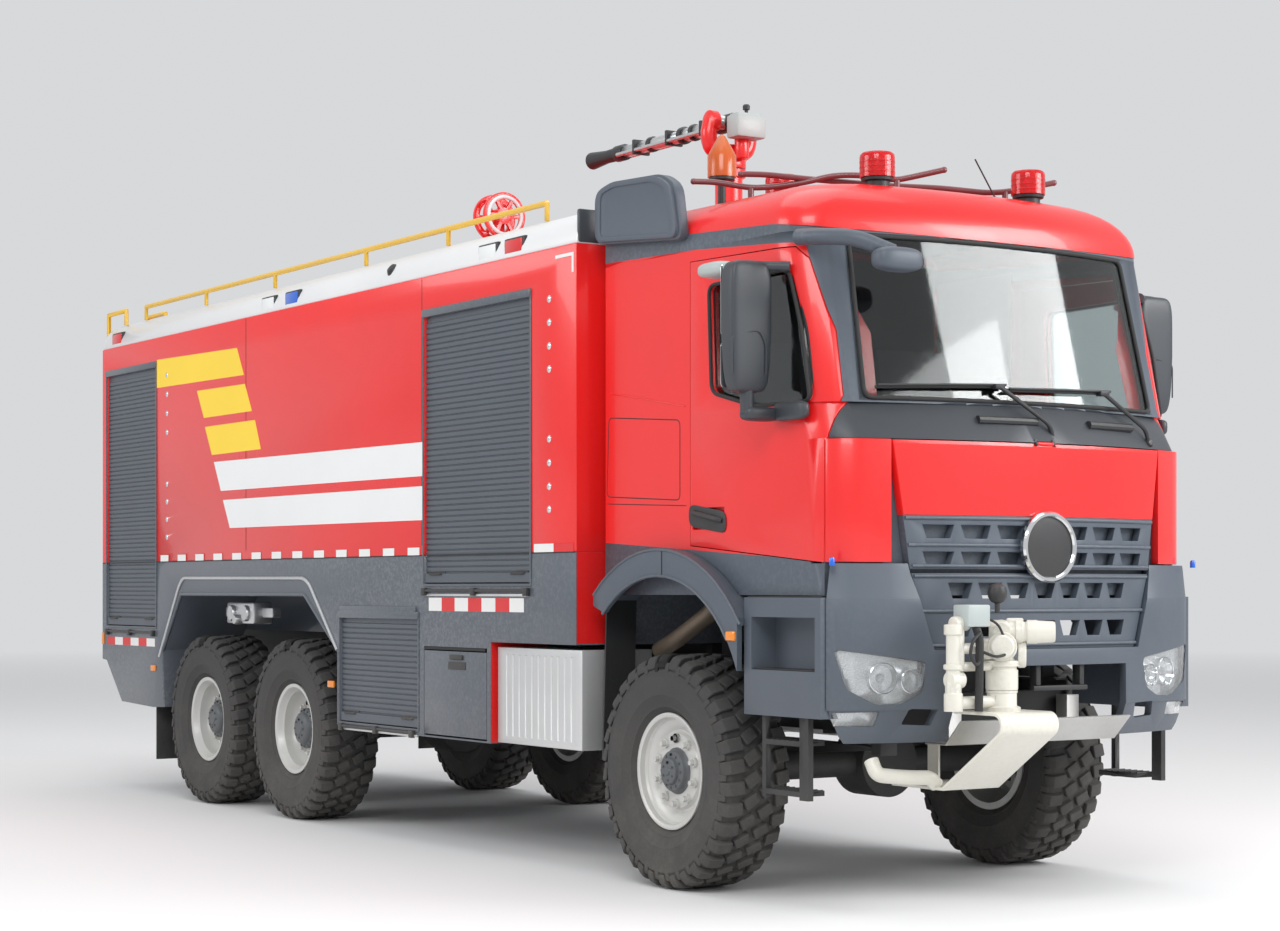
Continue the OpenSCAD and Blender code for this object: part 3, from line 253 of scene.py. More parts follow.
RED = finish("red_paint", (0.80, 0.012, 0.012), 0.3, coat=0.3, dust=0.05, reach=1.6, tone=0.07, grain=900,
             bump=0.012, wear=0.08,
             wear_colour=(0.5, 0.1, 0.09))
GREY = finish("grey_paint", (0.080, 0.096, 0.118), 0.38, coat=0.3, dust=0.16, reach=1.5, tone=0.12, grain=900,
              bump=0.015, wear=0.3,
              wear_colour=(0.3, 0.31, 0.33))
PLASTIC_GREY = finish("grey_moulding", (0.080, 0.098, 0.124), 0.46, dust=0.14, reach=1.6, tone=0.12,
                      grain=1400, bump=0.06, wear=0.25,
                      wear_colour=(0.24, 0.26, 0.28))
DARK_GREY = finish("dark_grey_trim", (0.042, 0.048, 0.056), 0.42, dust=0.06, reach=2.2, tone=0.1, grain=1400,
                   bump=0.04)
SHUTTER = finish("shutter_slats", (0.100, 0.116, 0.138), 0.42, metallic=0.2, dust=0.1, reach=1.6, tone=0.12,
                 grain=700, bump=0.02)
WHITE = finish("white_roof_edge", (0.72, 0.73, 0.74), 0.35, coat=0.3, dust=0.04, reach=3.0, tone=0.07,
               grain=700, bump=0.02)
STRIPE = finish("white_stripe", (0.80, 0.81, 0.81), 0.4, coat=0.2, dust=0.03, reach=3.0, tone=0.05, grain=900,
                bump=0.01)
YELLOW = finish("yellow_paint", (0.80, 0.48, 0.03), 0.35, coat=0.3, dust=0.15, tone=0.1, grain=800, bump=0.02,
                wear=0.5,
                wear_colour=(0.35, 0.3, 0.25))
CHEVRON = finish("yellow_stripe", (0.92, 0.64, 0.035), 0.45, dust=0.02, tone=0.05, grain=1500, bump=0.02)
CREAM = finish("cream_paint", (0.74, 0.72, 0.64), 0.38, coat=0.25, dust=0.1, reach=1.6, tone=0.14, grain=700,
               bump=0.03, wear=0.5,
               wear_colour=(0.35, 0.33, 0.3))
STEEL = finish("bright_steel", (0.62, 0.63, 0.64), 0.3, metallic=0.9, dust=0.25, reach=1.6, tone=0.12,
               grain=600, bump=0.03)
ALUMINIUM = finish("aluminium_sheet", (0.70, 0.71, 0.71), 0.4, metallic=0.7, dust=0.12, reach=1.6, tone=0.14,
                   grain=300, bump=0.04)
RIM = finish("rim_paint", (0.60, 0.60, 0.58), 0.36, metallic=0.2, dust=0.2, reach=1.0, tone=0.15, grain=700,
             bump=0.03, wear=0.3,
             wear_colour=(0.3, 0.28, 0.26))
HUB = finish("hub_paint", (0.09, 0.10, 0.11), 0.42, dust=0.2, reach=1.0, tone=0.15, grain=700, bump=0.04)
RUBBER = finish("tyre_rubber", (0.040, 0.040, 0.041), 0.78, dust=0.22, reach=1.25, tone=0.2, grain=220,
                bump=0.25)
BLACK = finish("chassis_black", (0.022, 0.023, 0.025), 0.5, dust=0.15, reach=1.3, tone=0.2, grain=500,
               bump=0.08)
CAST = finish("cast_iron", (0.035, 0.035, 0.037), 0.6, dust=0.15, reach=1.2, tone=0.2, grain=160, bump=0.2)
BLACK_PLASTIC = finish("black_moulding", (0.022, 0.023, 0.025), 0.45, dust=0.25, reach=2.0, tone=0.1,
                       grain=1200, bump=0.08)
SEAT = finish("cab_lining", (0.05, 0.052, 0.058), 0.8, dust=0.1, tone=0.15, grain=500, bump=0.2)
SEAL = finish("black_seal", (0.018, 0.018, 0.019), 0.7, dust=0.3, tone=0.1, grain=600, bump=0.05)
HOSE = finish("cable_black", (0.02, 0.02, 0.021), 0.55, dust=0.2, tone=0.1, grain=500, bump=0.1)
MOTOR_GREY = finish("motor_box_grey", (0.42, 0.47, 0.46), 0.45, coat=0.1, dust=0.2, tone=0.1, grain=700,
                    bump=0.02)
CHROME = finish("chrome", (0.75, 0.76, 0.77), 0.12, metallic=1.0, dust=0.08, tone=0.05, grain=200, bump=0.005,
                spread=0.04)
CHEQUER = finish("chequer_plate", (0.62, 0.62, 0.61), 0.4, metallic=0.8, dust=0.5, reach=1.6, tone=0.15,
                 grain=200, bump=0.05)
MIRROR = finish("mirror_glass", (0.8, 0.82, 0.83), 0.03, metallic=1.0, dust=0.05, tone=0.03, grain=100,
                bump=0.0, spread=0.01)
AMBER = finish("amber_lens", (0.85, 0.25, 0.01), 0.2, coat=0.5, dust=0.15, tone=0.1, grain=300, bump=0.02)
LAMP_WHITE = finish("white_lens", (0.8, 0.82, 0.82), 0.18, coat=0.5, dust=0.1, tone=0.08, grain=300,
                    bump=0.02)
LAMP_BLUE = finish("blue_lens", (0.01, 0.12, 0.62), 0.2, coat=0.5, dust=0.1, tone=0.1, grain=300, bump=0.02)
LAMP_RED = finish("red_lens", (0.65, 0.01, 0.012), 0.2, coat=0.5, dust=0.1, tone=0.1, grain=300, bump=0.02)
REFLECT_RED = finish("red_tape", (0.68, 0.015, 0.02), 0.45, dust=0.2, reach=2.2, tone=0.06, grain=260,
                     bump=0.05)
REFLECT_WHITE = finish("white_tape", (0.80, 0.80, 0.79), 0.45, dust=0.2, reach=2.2, tone=0.06, grain=260,
                       bump=0.05)
GLASS = clear("window_glass", (0.62, 0.68, 0.68), 0.02)
LAMP = clear("lamp_lens", (0.93, 0.95, 0.96), 0.03, 0.9)
BEACON = clear("beacon_red", (0.90, 0.02, 0.025), 0.08, 0.6)
BEACON_AMBER = clear("beacon_amber", (0.90, 0.22, 0.05), 0.15, 0.5)
REFLECTOR = finish("lamp_reflector", (0.82, 0.83, 0.84), 0.24, metallic=0.45, dust=0.05, tone=0.08, grain=240,
                   bump=0.02)
TUBE_RED = finish("dark_red_tube", (0.17, 0.045, 0.05), 0.35, coat=0.3, dust=0.05, tone=0.15, grain=700,
                  bump=0.03)
EXHAUST = finish("exhaust_pipe", (0.20, 0.16, 0.12), 0.5, metallic=0.6, dust=0.15, tone=0.3, tone_scale=6,
                 grain=300, bump=0.1)

OF_NODE = {
    RED: "cab_shell corner_panels door_left door_right front_flap body_upper hose_reel roof_monitor_base "
         "roof_monitor_turret",
    GREY: "body_lower toolbox_door_left toolbox_door_right",
    PLASTIC_GREY: "grille_upper grille_lower bumper cab_steps front_fenders side_deflectors",
    DARK_GREY: "cab_trim",
    SHUTTER: "side_shutters",
    WHITE: "cornices",
    YELLOW: "roof_rails",
    CREAM: "monitor_bracket bumper_monitor_turret bumper_monitor_barrel",
    ALUMINIUM: "underrun_plate silencer_box fuel_tank",
    BLACK: "chassis_frame leaf_springs mudflaps roof_monitor_barrel",
    CAST: "engine_block driveline front_axle rear_axles knuckle_left knuckle_right",
    BLACK_PLASTIC: "mirror_left mirror_right",
    SEAT: "cab_interior",
    GLASS: "windscreen door_glass_left door_glass_right",
    LAMP: "headlamps",
    BEACON: "beacons",
    TUBE_RED: "light_bar"}
WHEELS = [f"{row}_{hand}" for row in ("front", "mid", "rear") for hand in ("left", "right")]
OF_NODE[RUBBER] = " ".join("tyre_" + w for w in WHEELS)
OF_NODE[RIM] = " ".join("rim_" + w for w in WHEELS)
MATERIAL_OF = {n: m for m, names in OF_NODE.items() for n in names.split()}
for name, solid in frame["nodes"].items():
    solid.data.materials.clear()
    solid.data.materials.append(MATERIAL_OF[name])

# Floor, which fades into a pale haze, and world
floor_finish, fade, floor_shader = blank("pale_floor")
floor_shader.inputs["Base Color"].default_value = (0.80, 0.80, 0.80, 1)
floor_shader.inputs["Roughness"].default_value = 0.9
spot = add(fade, "ShaderNodeNewGeometry").outputs["Position"]
distance = add(fade, "ShaderNodeVectorMath", {0: spot}, operation="LENGTH").outputs["Value"]
far = maths(fade, "POWER", scaled(fade, distance, 14, 46), 1.5)
haze = add(fade, "ShaderNodeEmission", {"Color": (0.684, 0.692, 0.707, 1), "Strength": 1.0})
mixed = add(fade, "ShaderNodeMixShader", {0: far, 1: floor_shader.outputs[0], 2: haze.outputs[0]})
fade.links.new(mixed.outputs[0], fade.nodes["Material Output"].inputs["Surface"])
bpy.ops.mesh.primitive_plane_add(size=400, location=(0, 0, 0))
floor = bpy.context.active_object
floor.name = "floor"
floor.data.materials.append(floor_finish)

world = bpy.data.worlds.new("studio")
world.use_nodes = True
bpy.context.scene.world = world
sky = world.node_tree
ray = add(sky, "ShaderNodeLightPath")
mirrored = maths(sky, "MAXIMUM", ray.outputs["Is Glossy Ray"], ray.outputs["Is Transmission Ray"])
seen = maths(sky, "MAXIMUM", ray.outputs["Is Camera Ray"], mirrored)
sky.nodes["Background"].inputs["Color"].default_value = (0.90, 0.91, 0.93, 1)
sky.links.new(scaled(sky, seen, 0, 1, 0.70, 0.76), sky.nodes["Background"].inputs["Strength"])


# Ways to make a piece


def alone(o):
    """Selects one object and nothing else."""
    bpy.ops.object.select_all(action="DESELECT")
    o.select_set(True)
    bpy.context.view_layer.objects.active = o
    return o


def settle(o):
    """Puts an object's place, turn and size into its mesh."""
    alone(o)
    bpy.ops.object.transform_apply(location=True, rotation=True, scale=True)
    return o


def modified(o, kind, **settings):
    """An object with one modifier applied."""
    m = o.modifiers.new(kind.lower(), kind)
    for key, value in settings.items():
        setattr(m, key, value)
    alone(o)
    bpy.ops.object.modifier_apply(modifier=m.name)
    return o


def rounded(o, width, steps=2, angle=32):
    """Rounds the edges sharper than an angle, and leaves them where the width is 0."""
    if width:
        modified(o, "BEVEL", width=width, segments=steps, limit_method="ANGLE",
                 angle_limit=math.radians(angle))
    return o


def block(low, high, edge=0.004, steps=2):
    """A box between two corners, with its edges rounded."""
    low, high = Vector(low), Vector(high)
    bpy.ops.object.select_all(action="DESELECT")
    bpy.ops.mesh.primitive_cube_add(size=1, location=(low + high) / 2)
    o = bpy.context.active_object
    o.scale = high - low
    return rounded(settle(o), edge, steps)


def rod(a, b, radius, sides=24, edge=0.0, top=None):
    """A round bar from a to b, tapered where top is given."""
    a, b = Vector(a), Vector(b)
    bpy.ops.object.select_all(action="DESELECT")
    bpy.ops.mesh.primitive_cone_add(vertices=sides, radius1=radius, radius2=radius if top is None else top,
                                    depth=(b - a).length,
                                    location=(a + b) / 2, rotation=(b - a).to_track_quat("Z", "Y").to_euler())
    return rounded(settle(bpy.context.active_object), edge)


def drawn(name, lines, closed, **settings):
    """A mesh from a curve that runs through lines of points."""
    data = bpy.data.curves.new(name, "CURVE")
    for key, value in settings.items():
        setattr(data, key, value)
    for points in lines:
        line = data.splines.new("POLY")
        line.points.add(len(points) - 1)
        for spot, p in zip(line.points, points):
            spot.co = (*p, 1)
        line.use_cyclic_u = closed
    o = bpy.data.objects.new(name, data)
    bpy.context.scene.collection.objects.link(o)
    alone(o)
    bpy.ops.object.convert(target="MESH")
    return bpy.context.active_object


def corner(start, p, end, shares):
    """Points of the soft curve that takes the place of a corner p."""
    return [(1 - k) ** 2 * start + 2 * k * (1 - k) * p + k * k * end for k in shares]


def wire(points, radius, closed=False, bend=0.0, sides=3):
    """A tube along points, its corners rounded by bend."""
    points = [Vector(p) for p in points]
    if bend:
        soft = []
        for i, p in enumerate(points):
            if i in (0, len(points) - 1) and not closed:
                soft.append(p)
                continue
            before, after = points[i - 1], points[(i + 1) % len(points)]
            reach = min(bend, (before - p).length * 0.45, (after - p).length * 0.45)
            start, end = p + (before - p).normalized() * reach, p + (after - p).normalized() * reach
            soft += corner(start, p, end, (0, 0.17, 0.34, 0.5, 0.66, 0.83, 1))
        points = soft
    return drawn("wire", [points], closed, dimensions="3D", bevel_depth=radius, bevel_resolution=sides,
                 use_fill_caps=True)


PLANES = {  # along the outline's first axis, along its second, out of the face
    "right": ((0, 1, 0), (0, 0, 1), (-1, 0, 0)),
    "front": ((1, 0, 0), (0, 0, 1), (0, -1, 0)),
    "rear": ((1, 0, 0), (0, 0, 1), (0, 1, 0))}


def plate(outline, level, thick, plane="right", edge=0.0, holes=(), matrix=None):
    """A flat plate with a given outline, from level outwards by thick, or placed by a matrix."""
    loops = [[(p[0], p[1], 0) for p in loop] for loop in (outline, *holes)]
    o = drawn("plate", loops, True, dimensions="2D", fill_mode="BOTH", extrude=thick / 2)
    if matrix is None:
        u, v, w = (Vector(a) for a in PLANES[plane])
        matrix = Matrix((u, v, w)).transposed().to_4x4()
        away = level if plane == "right" else level * w.y
        matrix.translation = w * (away + thick / 2)
    o.matrix_world = matrix
    settle(o)
    tidy(o)
    return rounded(o, edge, 2, 50)


def tidy(o):
    """Joins doubled points and turns every face outwards."""
    alone(o)
    bpy.ops.object.mode_set(mode="EDIT")
    bpy.ops.mesh.select_all(action="SELECT")
    bpy.ops.mesh.remove_doubles(threshold=0.00005)
    bpy.ops.mesh.normals_make_consistent(inside=False)
    bpy.ops.object.mode_set(mode="OBJECT")
    return o


def lathe(outline, place, axis=(0, 0, 1), steps=32):
    """An outline of (radius, height) spun round an axis through place."""
    o = drawn("lathe", [[(r, 0, h) for r, h in outline]], False, dimensions="3D")
    bpy.ops.object.mode_set(mode="EDIT")
    bpy.ops.mesh.select_all(action="SELECT")
    bpy.ops.mesh.spin(steps=steps, angle=2 * math.pi, center=(0, 0, 0), axis=(0, 0, 1))
    bpy.ops.object.mode_set(mode="OBJECT")
    turn = Vector(axis).to_track_quat("Z", "Y").to_matrix().to_4x4()
    o.matrix_world = Matrix.Translation(Vector(place)) @ turn
    settle(o)
    return tidy(o)


def carried(parts, matrix):
    """Moves parts by a matrix, with their faces kept outwards."""
    for o in parts:
        o.matrix_world = matrix @ o.matrix_world
        settle(o)
        if matrix.determinant() < 0:
            tidy(o)
    return parts


def moved(o, matrix):
    """A copy of a mesh object, with its own mesh, moved by a matrix."""
    alone(o)
    bpy.ops.object.duplicate()
    return carried([bpy.context.active_object], matrix)[0]


def dropped(parts):
    """Deletes parts that only served to make others."""
    for o in parts:
        bpy.data.objects.remove(o)


MIRROR_X = Matrix.Scale(-1, 4, (1, 0, 0))
HANDS = {"right": Matrix.Identity(4), "left": MIRROR_X}


def joined(parts):
    """One object out of several."""
    bpy.ops.object.select_all(action="DESELECT")
    for o in parts:
        o.select_set(True)
    bpy.context.view_layer.objects.active = parts[0]
    if len(parts) > 1:
        bpy.ops.object.join()
    return bpy.context.active_object


def piece(parts, name, body, material, stands_for=(), angle=35):
    """Joins parts into one finished piece that rides on a body."""
    o = joined(parts if isinstance(parts, list) else [parts])
    o.name = name
    o.data.name = name
    o.data.materials.clear()
    o.data.materials.append(material)
    for face in o.data.polygons:
        face.material_index = 0
    alone(o)
    bpy.ops.object.shade_smooth_by_angle(angle=math.radians(angle))
    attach(o, body)
    if stands_for:
        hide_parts(*stands_for)
    return o


def copy_of(node):
    """A loose copy of a CAD node's mesh, with doubled points joined."""
    alone(frame["nodes"][node])
    bpy.ops.object.duplicate()
    o = bpy.context.active_object
    o.parent = None
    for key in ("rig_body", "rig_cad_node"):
        if key in o:
            del o[key]
    return tidy(o)


def dressed(node, edge, material=None):
    """A CAD node's shape with its edges rounded."""
    o = rounded(copy_of(node), edge, 2, 30)
    return piece(o, node + "_finished", BODY_OF[node], material or MATERIAL_OF[node], (node,), 30)


def behind(outline):
    """A side-view outline given behind the front axle, in the frame."""
    return [(y + AXLE_Y, z) for y, z in outline]


def prism(outline):
    """A side-view outline as a solid that runs right across the truck."""
    m = Matrix(((0, 0, 1, 0), (1, 0, 0, 0), (0, 1, 0, 0), (0, 0, 0, 1)))
    return plate(behind(outline), 0, 2.8, matrix=m)


def split(o, tools):
    """Cuts a solid into what lies inside the tools, and the rest."""
    inner = []
    for tool in tools:
        part = moved(o, Matrix.Identity(4))
        modified(part, "BOOLEAN", object=tool, operation="INTERSECT", solver="EXACT")
        modified(o, "BOOLEAN", object=tool, operation="DIFFERENCE", solver="EXACT")
        inner.append(part)
    dropped(tools)
    return inner, o


def turned(outline, d):
    """An outline with its corners rounded."""
    out = []
    for i, c in enumerate(outline):
        c, a, b = Vector(c), Vector(outline[i - 1]), Vector(outline[(i + 1) % len(outline)])
        start, end = c + (a - c).normalized() * d, c + (b - c).normalized() * d
        out += [tuple(p) for p in corner(start, c, end, [k / 5 for k in range(6)])]
    return out


def fine(outline, step=0.08):
    """An outline with its long edges divided."""
    out = []
    for a, b in zip(outline, outline[1:] + outline[:1]):
        n = max(1, int(math.dist(a, b) / step))
        out += [(a[0] + (b[0] - a[0]) * k / n, a[1] + (b[1] - a[1]) * k / n) for k in range(n)]
    return out


def sheet(rows):
    """A smooth skin through rows of points, each row as long as the first."""
    bpy.ops.object.select_all(action="DESELECT")
    bpy.ops.mesh.primitive_grid_add(x_subdivisions=len(rows[0]) - 1, y_subdivisions=len(rows) - 1)
    o = bpy.context.active_object
    for spot, p in zip(o.data.vertices, [p for row in rows for p in row]):
        spot.co = p
    return tidy(o)


def pebble(low, high, power=5.0, steps=32, taper=1.0):
    """A soft box between two corners, narrower towards its foot where taper is under 1."""
    low, high = Vector(low), Vector(high)
    mid, half = (low + high) / 2, (high - low) / 2

    def squared(v):
        return math.copysign(abs(v) ** (2 / power), v)

    rows = []
    for i in range(steps // 2 + 1):
        tilt = -math.pi / 2 + math.pi * i / (steps // 2)
        rise, reach = squared(math.sin(tilt)), squared(max(0.0, math.cos(tilt)))
        reach *= taper + (1 - taper) * min(1.0, (rise + 1) / 0.8)
        rows.append([mid + Vector((half.x * reach * squared(math.cos(t)),
                                   half.y * reach * squared(math.sin(t)),
                                   half.z * rise))
                     for t in (2 * math.pi * k / steps for k in range(steps + 1))])
    return sheet(rows)


# Body sides: stripes, tape, shutters, bolts, beads

SIDE = 1.275             # outside of the body from the middle
FILM = 0.0012            # thickness of stripes and tape
TAPE_FROM, TAPE_TO = 1.732, 1.778     # heights of the marking tape along the side


def side_plate(outline, thick, level=SIDE, edge=0.0, holes=()):
    """A plate on the right side, from places measured behind the front axle."""
    return plate(behind(outline), level, thick, "right", edge, [behind(loop) for loop in holes])


def oblong(u0, u1, v0, v1):
    """The corners of an upright rectangle."""
    return [(u0, v0), (u1, v0), (u1, v1), (u0, v1)]


def both_sides(parts):
    """Parts of the right side, and their mirror images."""
    return parts + [moved(o, MIRROR_X) for o in parts]


CHEVRONS = [[(6.758, 3.227), (5.296, 3.195), (5.177, 3.000), (6.758, 3.019)],
            [(6.001, 2.946), (5.161, 2.937), (5.044, 2.744), (5.874, 2.745)],
            [(5.856, 2.680), (4.994, 2.680), (4.895, 2.477), (5.731, 2.475)]]
BANDS = [[(5.696, 2.424), (2.559, 2.407), (2.559, 2.204), (5.572, 2.216)],
         [(5.537, 2.151), (2.559, 2.144), (2.559, 1.941), (5.416, 1.953)]]
piece(both_sides([side_plate(c, FILM) for c in CHEVRONS]), "yellow_chevrons", "root", CHEVRON)
piece(both_sides([side_plate(c, FILM) for c in BANDS]), "white_bands", "root", STRIPE)


def mark(y0, y1, z0=TAPE_FROM, z1=TAPE_TO):
    """A strip of tape on the side."""
    return side_plate(oblong(y0, y1, z0, z1), FILM, SIDE + 0.002)


def dashes(y0, y1, z0, z1, count, first):
    """Every second cell of a row of reflecting tape."""
    step = (y1 - y0) / count
    return [side_plate(oblong(y0 + i * step, y0 + (i + 1) * step, z0, z1), FILM)
            for i in range(first, count, 2)]


marks = [mark(2.60 + k * 0.3275, 2.75 + k * 0.3275) for k in range(13)]
marks += [mark(1.04, 1.25), mark(0.83, 1.02, 3.325, 3.343), mark(0.83, 0.85, 3.235, 3.325)]
TAPES = [(1.364, 2.483, 1.400, 1.478, 7), (6.80, 7.77, 1.100, 1.160, 6)]
white = marks + [cell for row in TAPES for cell in dashes(*row, 0)]
piece(both_sides(white), "tape_white", "root", REFLECT_WHITE)
red = [mark(0.83, 1.04)] + [cell for row in TAPES for cell in dashes(*row, 1)]
piece(both_sides(red), "tape_red", "root", REFLECT_RED)

# Roll shutters: slats, side channels, bottom bar with its lift handles
SHUTTERS = [(1.298, 2.546, 1.56, 3.17), (6.778, 7.786, 1.247, 3.195), (2.623, 3.682, 0.69, 1.37)]
SLAT = 0.033


def shutter(y0, y1, z0, z1):
    """A curtain of rounded slats that stands in its recess."""
    depth = SIDE - 0.034
    rows = int((z1 - z0 - 0.10) / SLAT)
    outline = [(0.0, 0.0), (0.0, z1 - z0 - 0.004), (0.012, z1 - z0 - 0.004)]
    for i in range(rows, 0, -1):
        top = 0.065 + i * SLAT
        outline += [(0.012, top), (0.019, top - 0.005), (0.0205, top - 0.018), (0.018, top - 0.027),
                    (0.012, top - 0.029)]
    outline += [(0.012, 0.062), (0.030, 0.058), (0.030, 0.006), (0.012, 0.0)]
    m = Matrix(((-1, 0, 0, -depth), (0, 0, 1, (y0 + y1) / 2 + AXLE_Y), (0, 1, 0, z0 + 0.002), (0, 0, 0, 1)))
    return plate(outline, 0, y1 - y0 - 0.004, matrix=m)


def shutter_surround(y0, y1, z0, z1):
    """Raised frame round a shutter."""
    w = 0.016
    hole = [(y0, z0), (y0, z1), (y1, z1), (y1, z0)]
    return side_plate(oblong(y0 - w, y1 + w, z0 - w, z1 + w), 0.005, edge=0.003, holes=[hole])


def lift_handle(y, z):
    """A bent bar on the bottom bar of a shutter, and its foot."""
    x, half, height = -(SIDE - 0.022), 0.07, z + 0.012
    grip = [at(x, y - half, height), at(x - 0.028, y - half, height), at(x - 0.028, y + half, height),
            at(x, y + half, height)]
    foot = block(at(x - 0.006, y - 0.095, z - 0.006), at(x + 0.002, y + 0.095, z + 0.03), 0.002)
    return [wire(grip, 0.006, bend=0.014), foot]


def latch_bar(y0, y1, z):
    """Push bar below a shutter, held by three brackets."""
    x = -(SIDE + 0.014)
    brackets = [block(at(-(SIDE + 0.026), y - 0.022, z - 0.03), at(-SIDE, y + 0.022, z + 0.016), 0.004)
                for y in (y0 + 0.02, (y0 + y1) / 2, y1 - 0.02)]
    return [rod(at(x, y0, z), at(x, y1, z), 0.009, 12)] + brackets


curtains = both_sides([shutter(*s) for s in SHUTTERS])
to_rear = Matrix.Translation(at(0, 7.88 - SIDE, 0)) @ Matrix.Rotation(-math.pi / 2, 4, "Z")
curtains += carried([shutter(-0.90 - AXLE_Y, 0.90 - AXLE_Y, 1.30, 3.15)], to_rear)
piece(curtains, "shutter_curtains", "root", SHUTTER, ["side_shutters"], 25)
heads = [block(at(-SIDE - 0.013, y0 - 0.014, z1 - 0.024), at(-SIDE + 0.03, y1 + 0.014, z1 + 0.024), 0.008)
         for y0, y1, z0, z1 in SHUTTERS]
piece(both_sides(heads), "shutter_heads", "root", GREY)
sills = [block(at(-SIDE - 0.008, y0, z), at(-SIDE + 0.01, y1, z + 0.014), 0.003)
         for y0, y1, z in ((1.31, 2.53, 1.488), (2.63, 3.68, 0.640))]
piece(both_sides(sills), "shutter_sills", "root", ALUMINIUM)
piece(both_sides([shutter_surround(*s) for s in SHUTTERS]), "shutter_frames", "root", GREY)
handles = [p for y0, y1, z0, z1 in SHUTTERS for y in (y0 + 0.14, y1 - 0.14)
           for p in lift_handle(y, z0 + 0.045)]
handles += latch_bar(1.30, 2.54, 1.520) + latch_bar(2.66, 3.66, 0.665) + latch_bar(6.80, 7.77, 1.205)
piece(both_sides(handles), "shutter_handles", "root", BLACK_PLASTIC)

# Bolt heads in columns beside the front and rear shutters
BOLTS = [(1.093, z) for z in (3.115, 2.987, 2.858, 2.732, 2.350, 2.220, 2.090, 1.965)]
BOLTS += [(6.564, z) for z in (3.10, 2.96, 2.82, 2.68, 2.30, 2.17, 2.04, 1.91)]
bolt = lathe([(0, 0.007), (0.012, 0.006), (0.019, 0.003), (0.021, 0), (0, 0)], (0, 0, 0), (-1, 0, 0), 12)
heads = [moved(bolt, Matrix.Translation(at(-SIDE, y, z))) for y, z in BOLTS]
dropped([bolt])
piece(both_sides(heads), "side_bolts", "root", CHROME)

# Upright seams of the side panels, shown as narrow cover strips, and the seam under the red panels
seams = [side_plate(oblong(y - 0.003, y + 0.003, 1.79, 3.385), 0.0008) for y in (2.572, 5.144)]
seams.append(side_plate(oblong(0.815, 7.875, 1.726, 1.733), 0.0015))
piece(both_sides(seams), "side_seams", "root", SEAL)

# Bright bead over the rear wheels, and the lip of the arch under it
BEAD = [(6.70, 1.03), (6.325, 1.545), (6.25, 1.608), (4.21, 1.600), (4.12, 1.560), (3.711, 1.14)]
bead = wire([at(-SIDE - 0.004, y, z) for y, z in BEAD], 0.012, bend=0.05)
piece(both_sides([bead]), "wheel_arch_bead", "root", STEEL)
ARCH_LIP = [(6.62, 0.69), (6.655, 1.075), (6.30, 1.492), (4.21, 1.494), (3.70, 1.135), (3.70, 0.67)]
lip = wire([at(-SIDE + 0.004, y, z) for y, z in ARCH_LIP], 0.014, bend=0.02)
piece(both_sides([lip]), "wheel_arch_lip", "root", GREY)

# Wheels: made once round the origin, their axle along X

TYRE_R = 0.600
WHEEL_X = 1.065
WHEEL_Y = {"front": 0, "mid": 4.5, "rear": 5.95}
LUGS = 34
ORIGIN, AXLE = (0, 0, 0), (1, 0, 0)
NUTS = (0.1675, 10, 0.026, 0.036)       # radius of the ring, count, size and height


def lug(section, width, skew, shift):
    """One tread block: its section across the tyre, its length round it, its skew and its place round it."""
    m = Matrix(((1, 0, 0, 0), (0, 0, 1, 0), (0, 1, 0, 0), (0, 0, 0, 1)))
    o = plate(section, 0, width, matrix=m)
    middle = Vector((sum(p[0] for p in section) / len(section), 0, 0.59))
    turn = Matrix.Translation(middle) @ Matrix.Rotation(skew, 4, "Z") @ Matrix.Translation(-middle)
    o.matrix_world = Matrix.Rotation(shift, 4, "X") @ turn
    settle(o)
    return rounded(o, 0.004, 1, 40)


def round_the_axle(o, count):
    """Copies of a shape, evenly round the axle."""
    alone(o)
    bpy.ops.object.mode_set(mode="EDIT")
    bpy.ops.mesh.select_all(action="SELECT")
    bpy.ops.mesh.spin(steps=count, dupli=True, angle=2 * math.pi, center=ORIGIN, axis=AXLE)
    bpy.ops.object.mode_set(mode="OBJECT")
    return o


def other_half(section):
    """A section across the tyre, mirrored to its other half."""
    return [(-x, z) for x, z in reversed(section)]


def tyre():
    """A tyre: a spun carcass, and two rows of blocks and one of short side lugs on each half."""
    half = [(0.281, 0.128), (0.300, 0.137), (0.318, 0.150), (0.330, 0.168), (0.338, 0.168), (0.345, 0.172),
            (0.385, 0.186), (0.392, 0.190), (0.398, 0.189), (0.440, 0.1955), (0.480, 0.1965), (0.500, 0.194),
            (0.506, 0.196), (0.514, 0.195), (0.520, 0.190), (0.548, 0.180), (0.566, 0.158), (0.572, 0.120),
            (0.574, 0.0)]
    carcass = lathe(half + [(r, -x) for r, x in reversed(half[:-1])], ORIGIN, AXLE, 96)
    step = 2 * math.pi / LUGS
    shoulder = [(0.098, 0.560), (0.096, 0.599), (0.150, 0.597), (0.176, 0.588), (0.192, 0.566),
                (0.1985, 0.536), (0.196, 0.524), (0.183, 0.530), (0.165, 0.555)]
    inner = [(0.006, 0.565), (0.006, 0.598), (0.088, 0.597), (0.092, 0.562)]
    short = [(0.176, 0.548), (0.184, 0.560), (0.195, 0.545), (0.199, 0.520), (0.197, 0.506), (0.188, 0.512)]
    blocks = [lug(shoulder, 0.066, 0.16, 0), lug(other_half(shoulder), 0.066, 0.16, step / 2),
              lug(inner, 0.060, 0.55, step * 0.42), lug(other_half(inner), 0.060, 0.55, step * 0.92),
              lug(short, 0.034, 0, step / 2), lug(other_half(short), 0.034, 0, 0)]
    return joined([carcass, round_the_axle(joined(blocks), LUGS)])


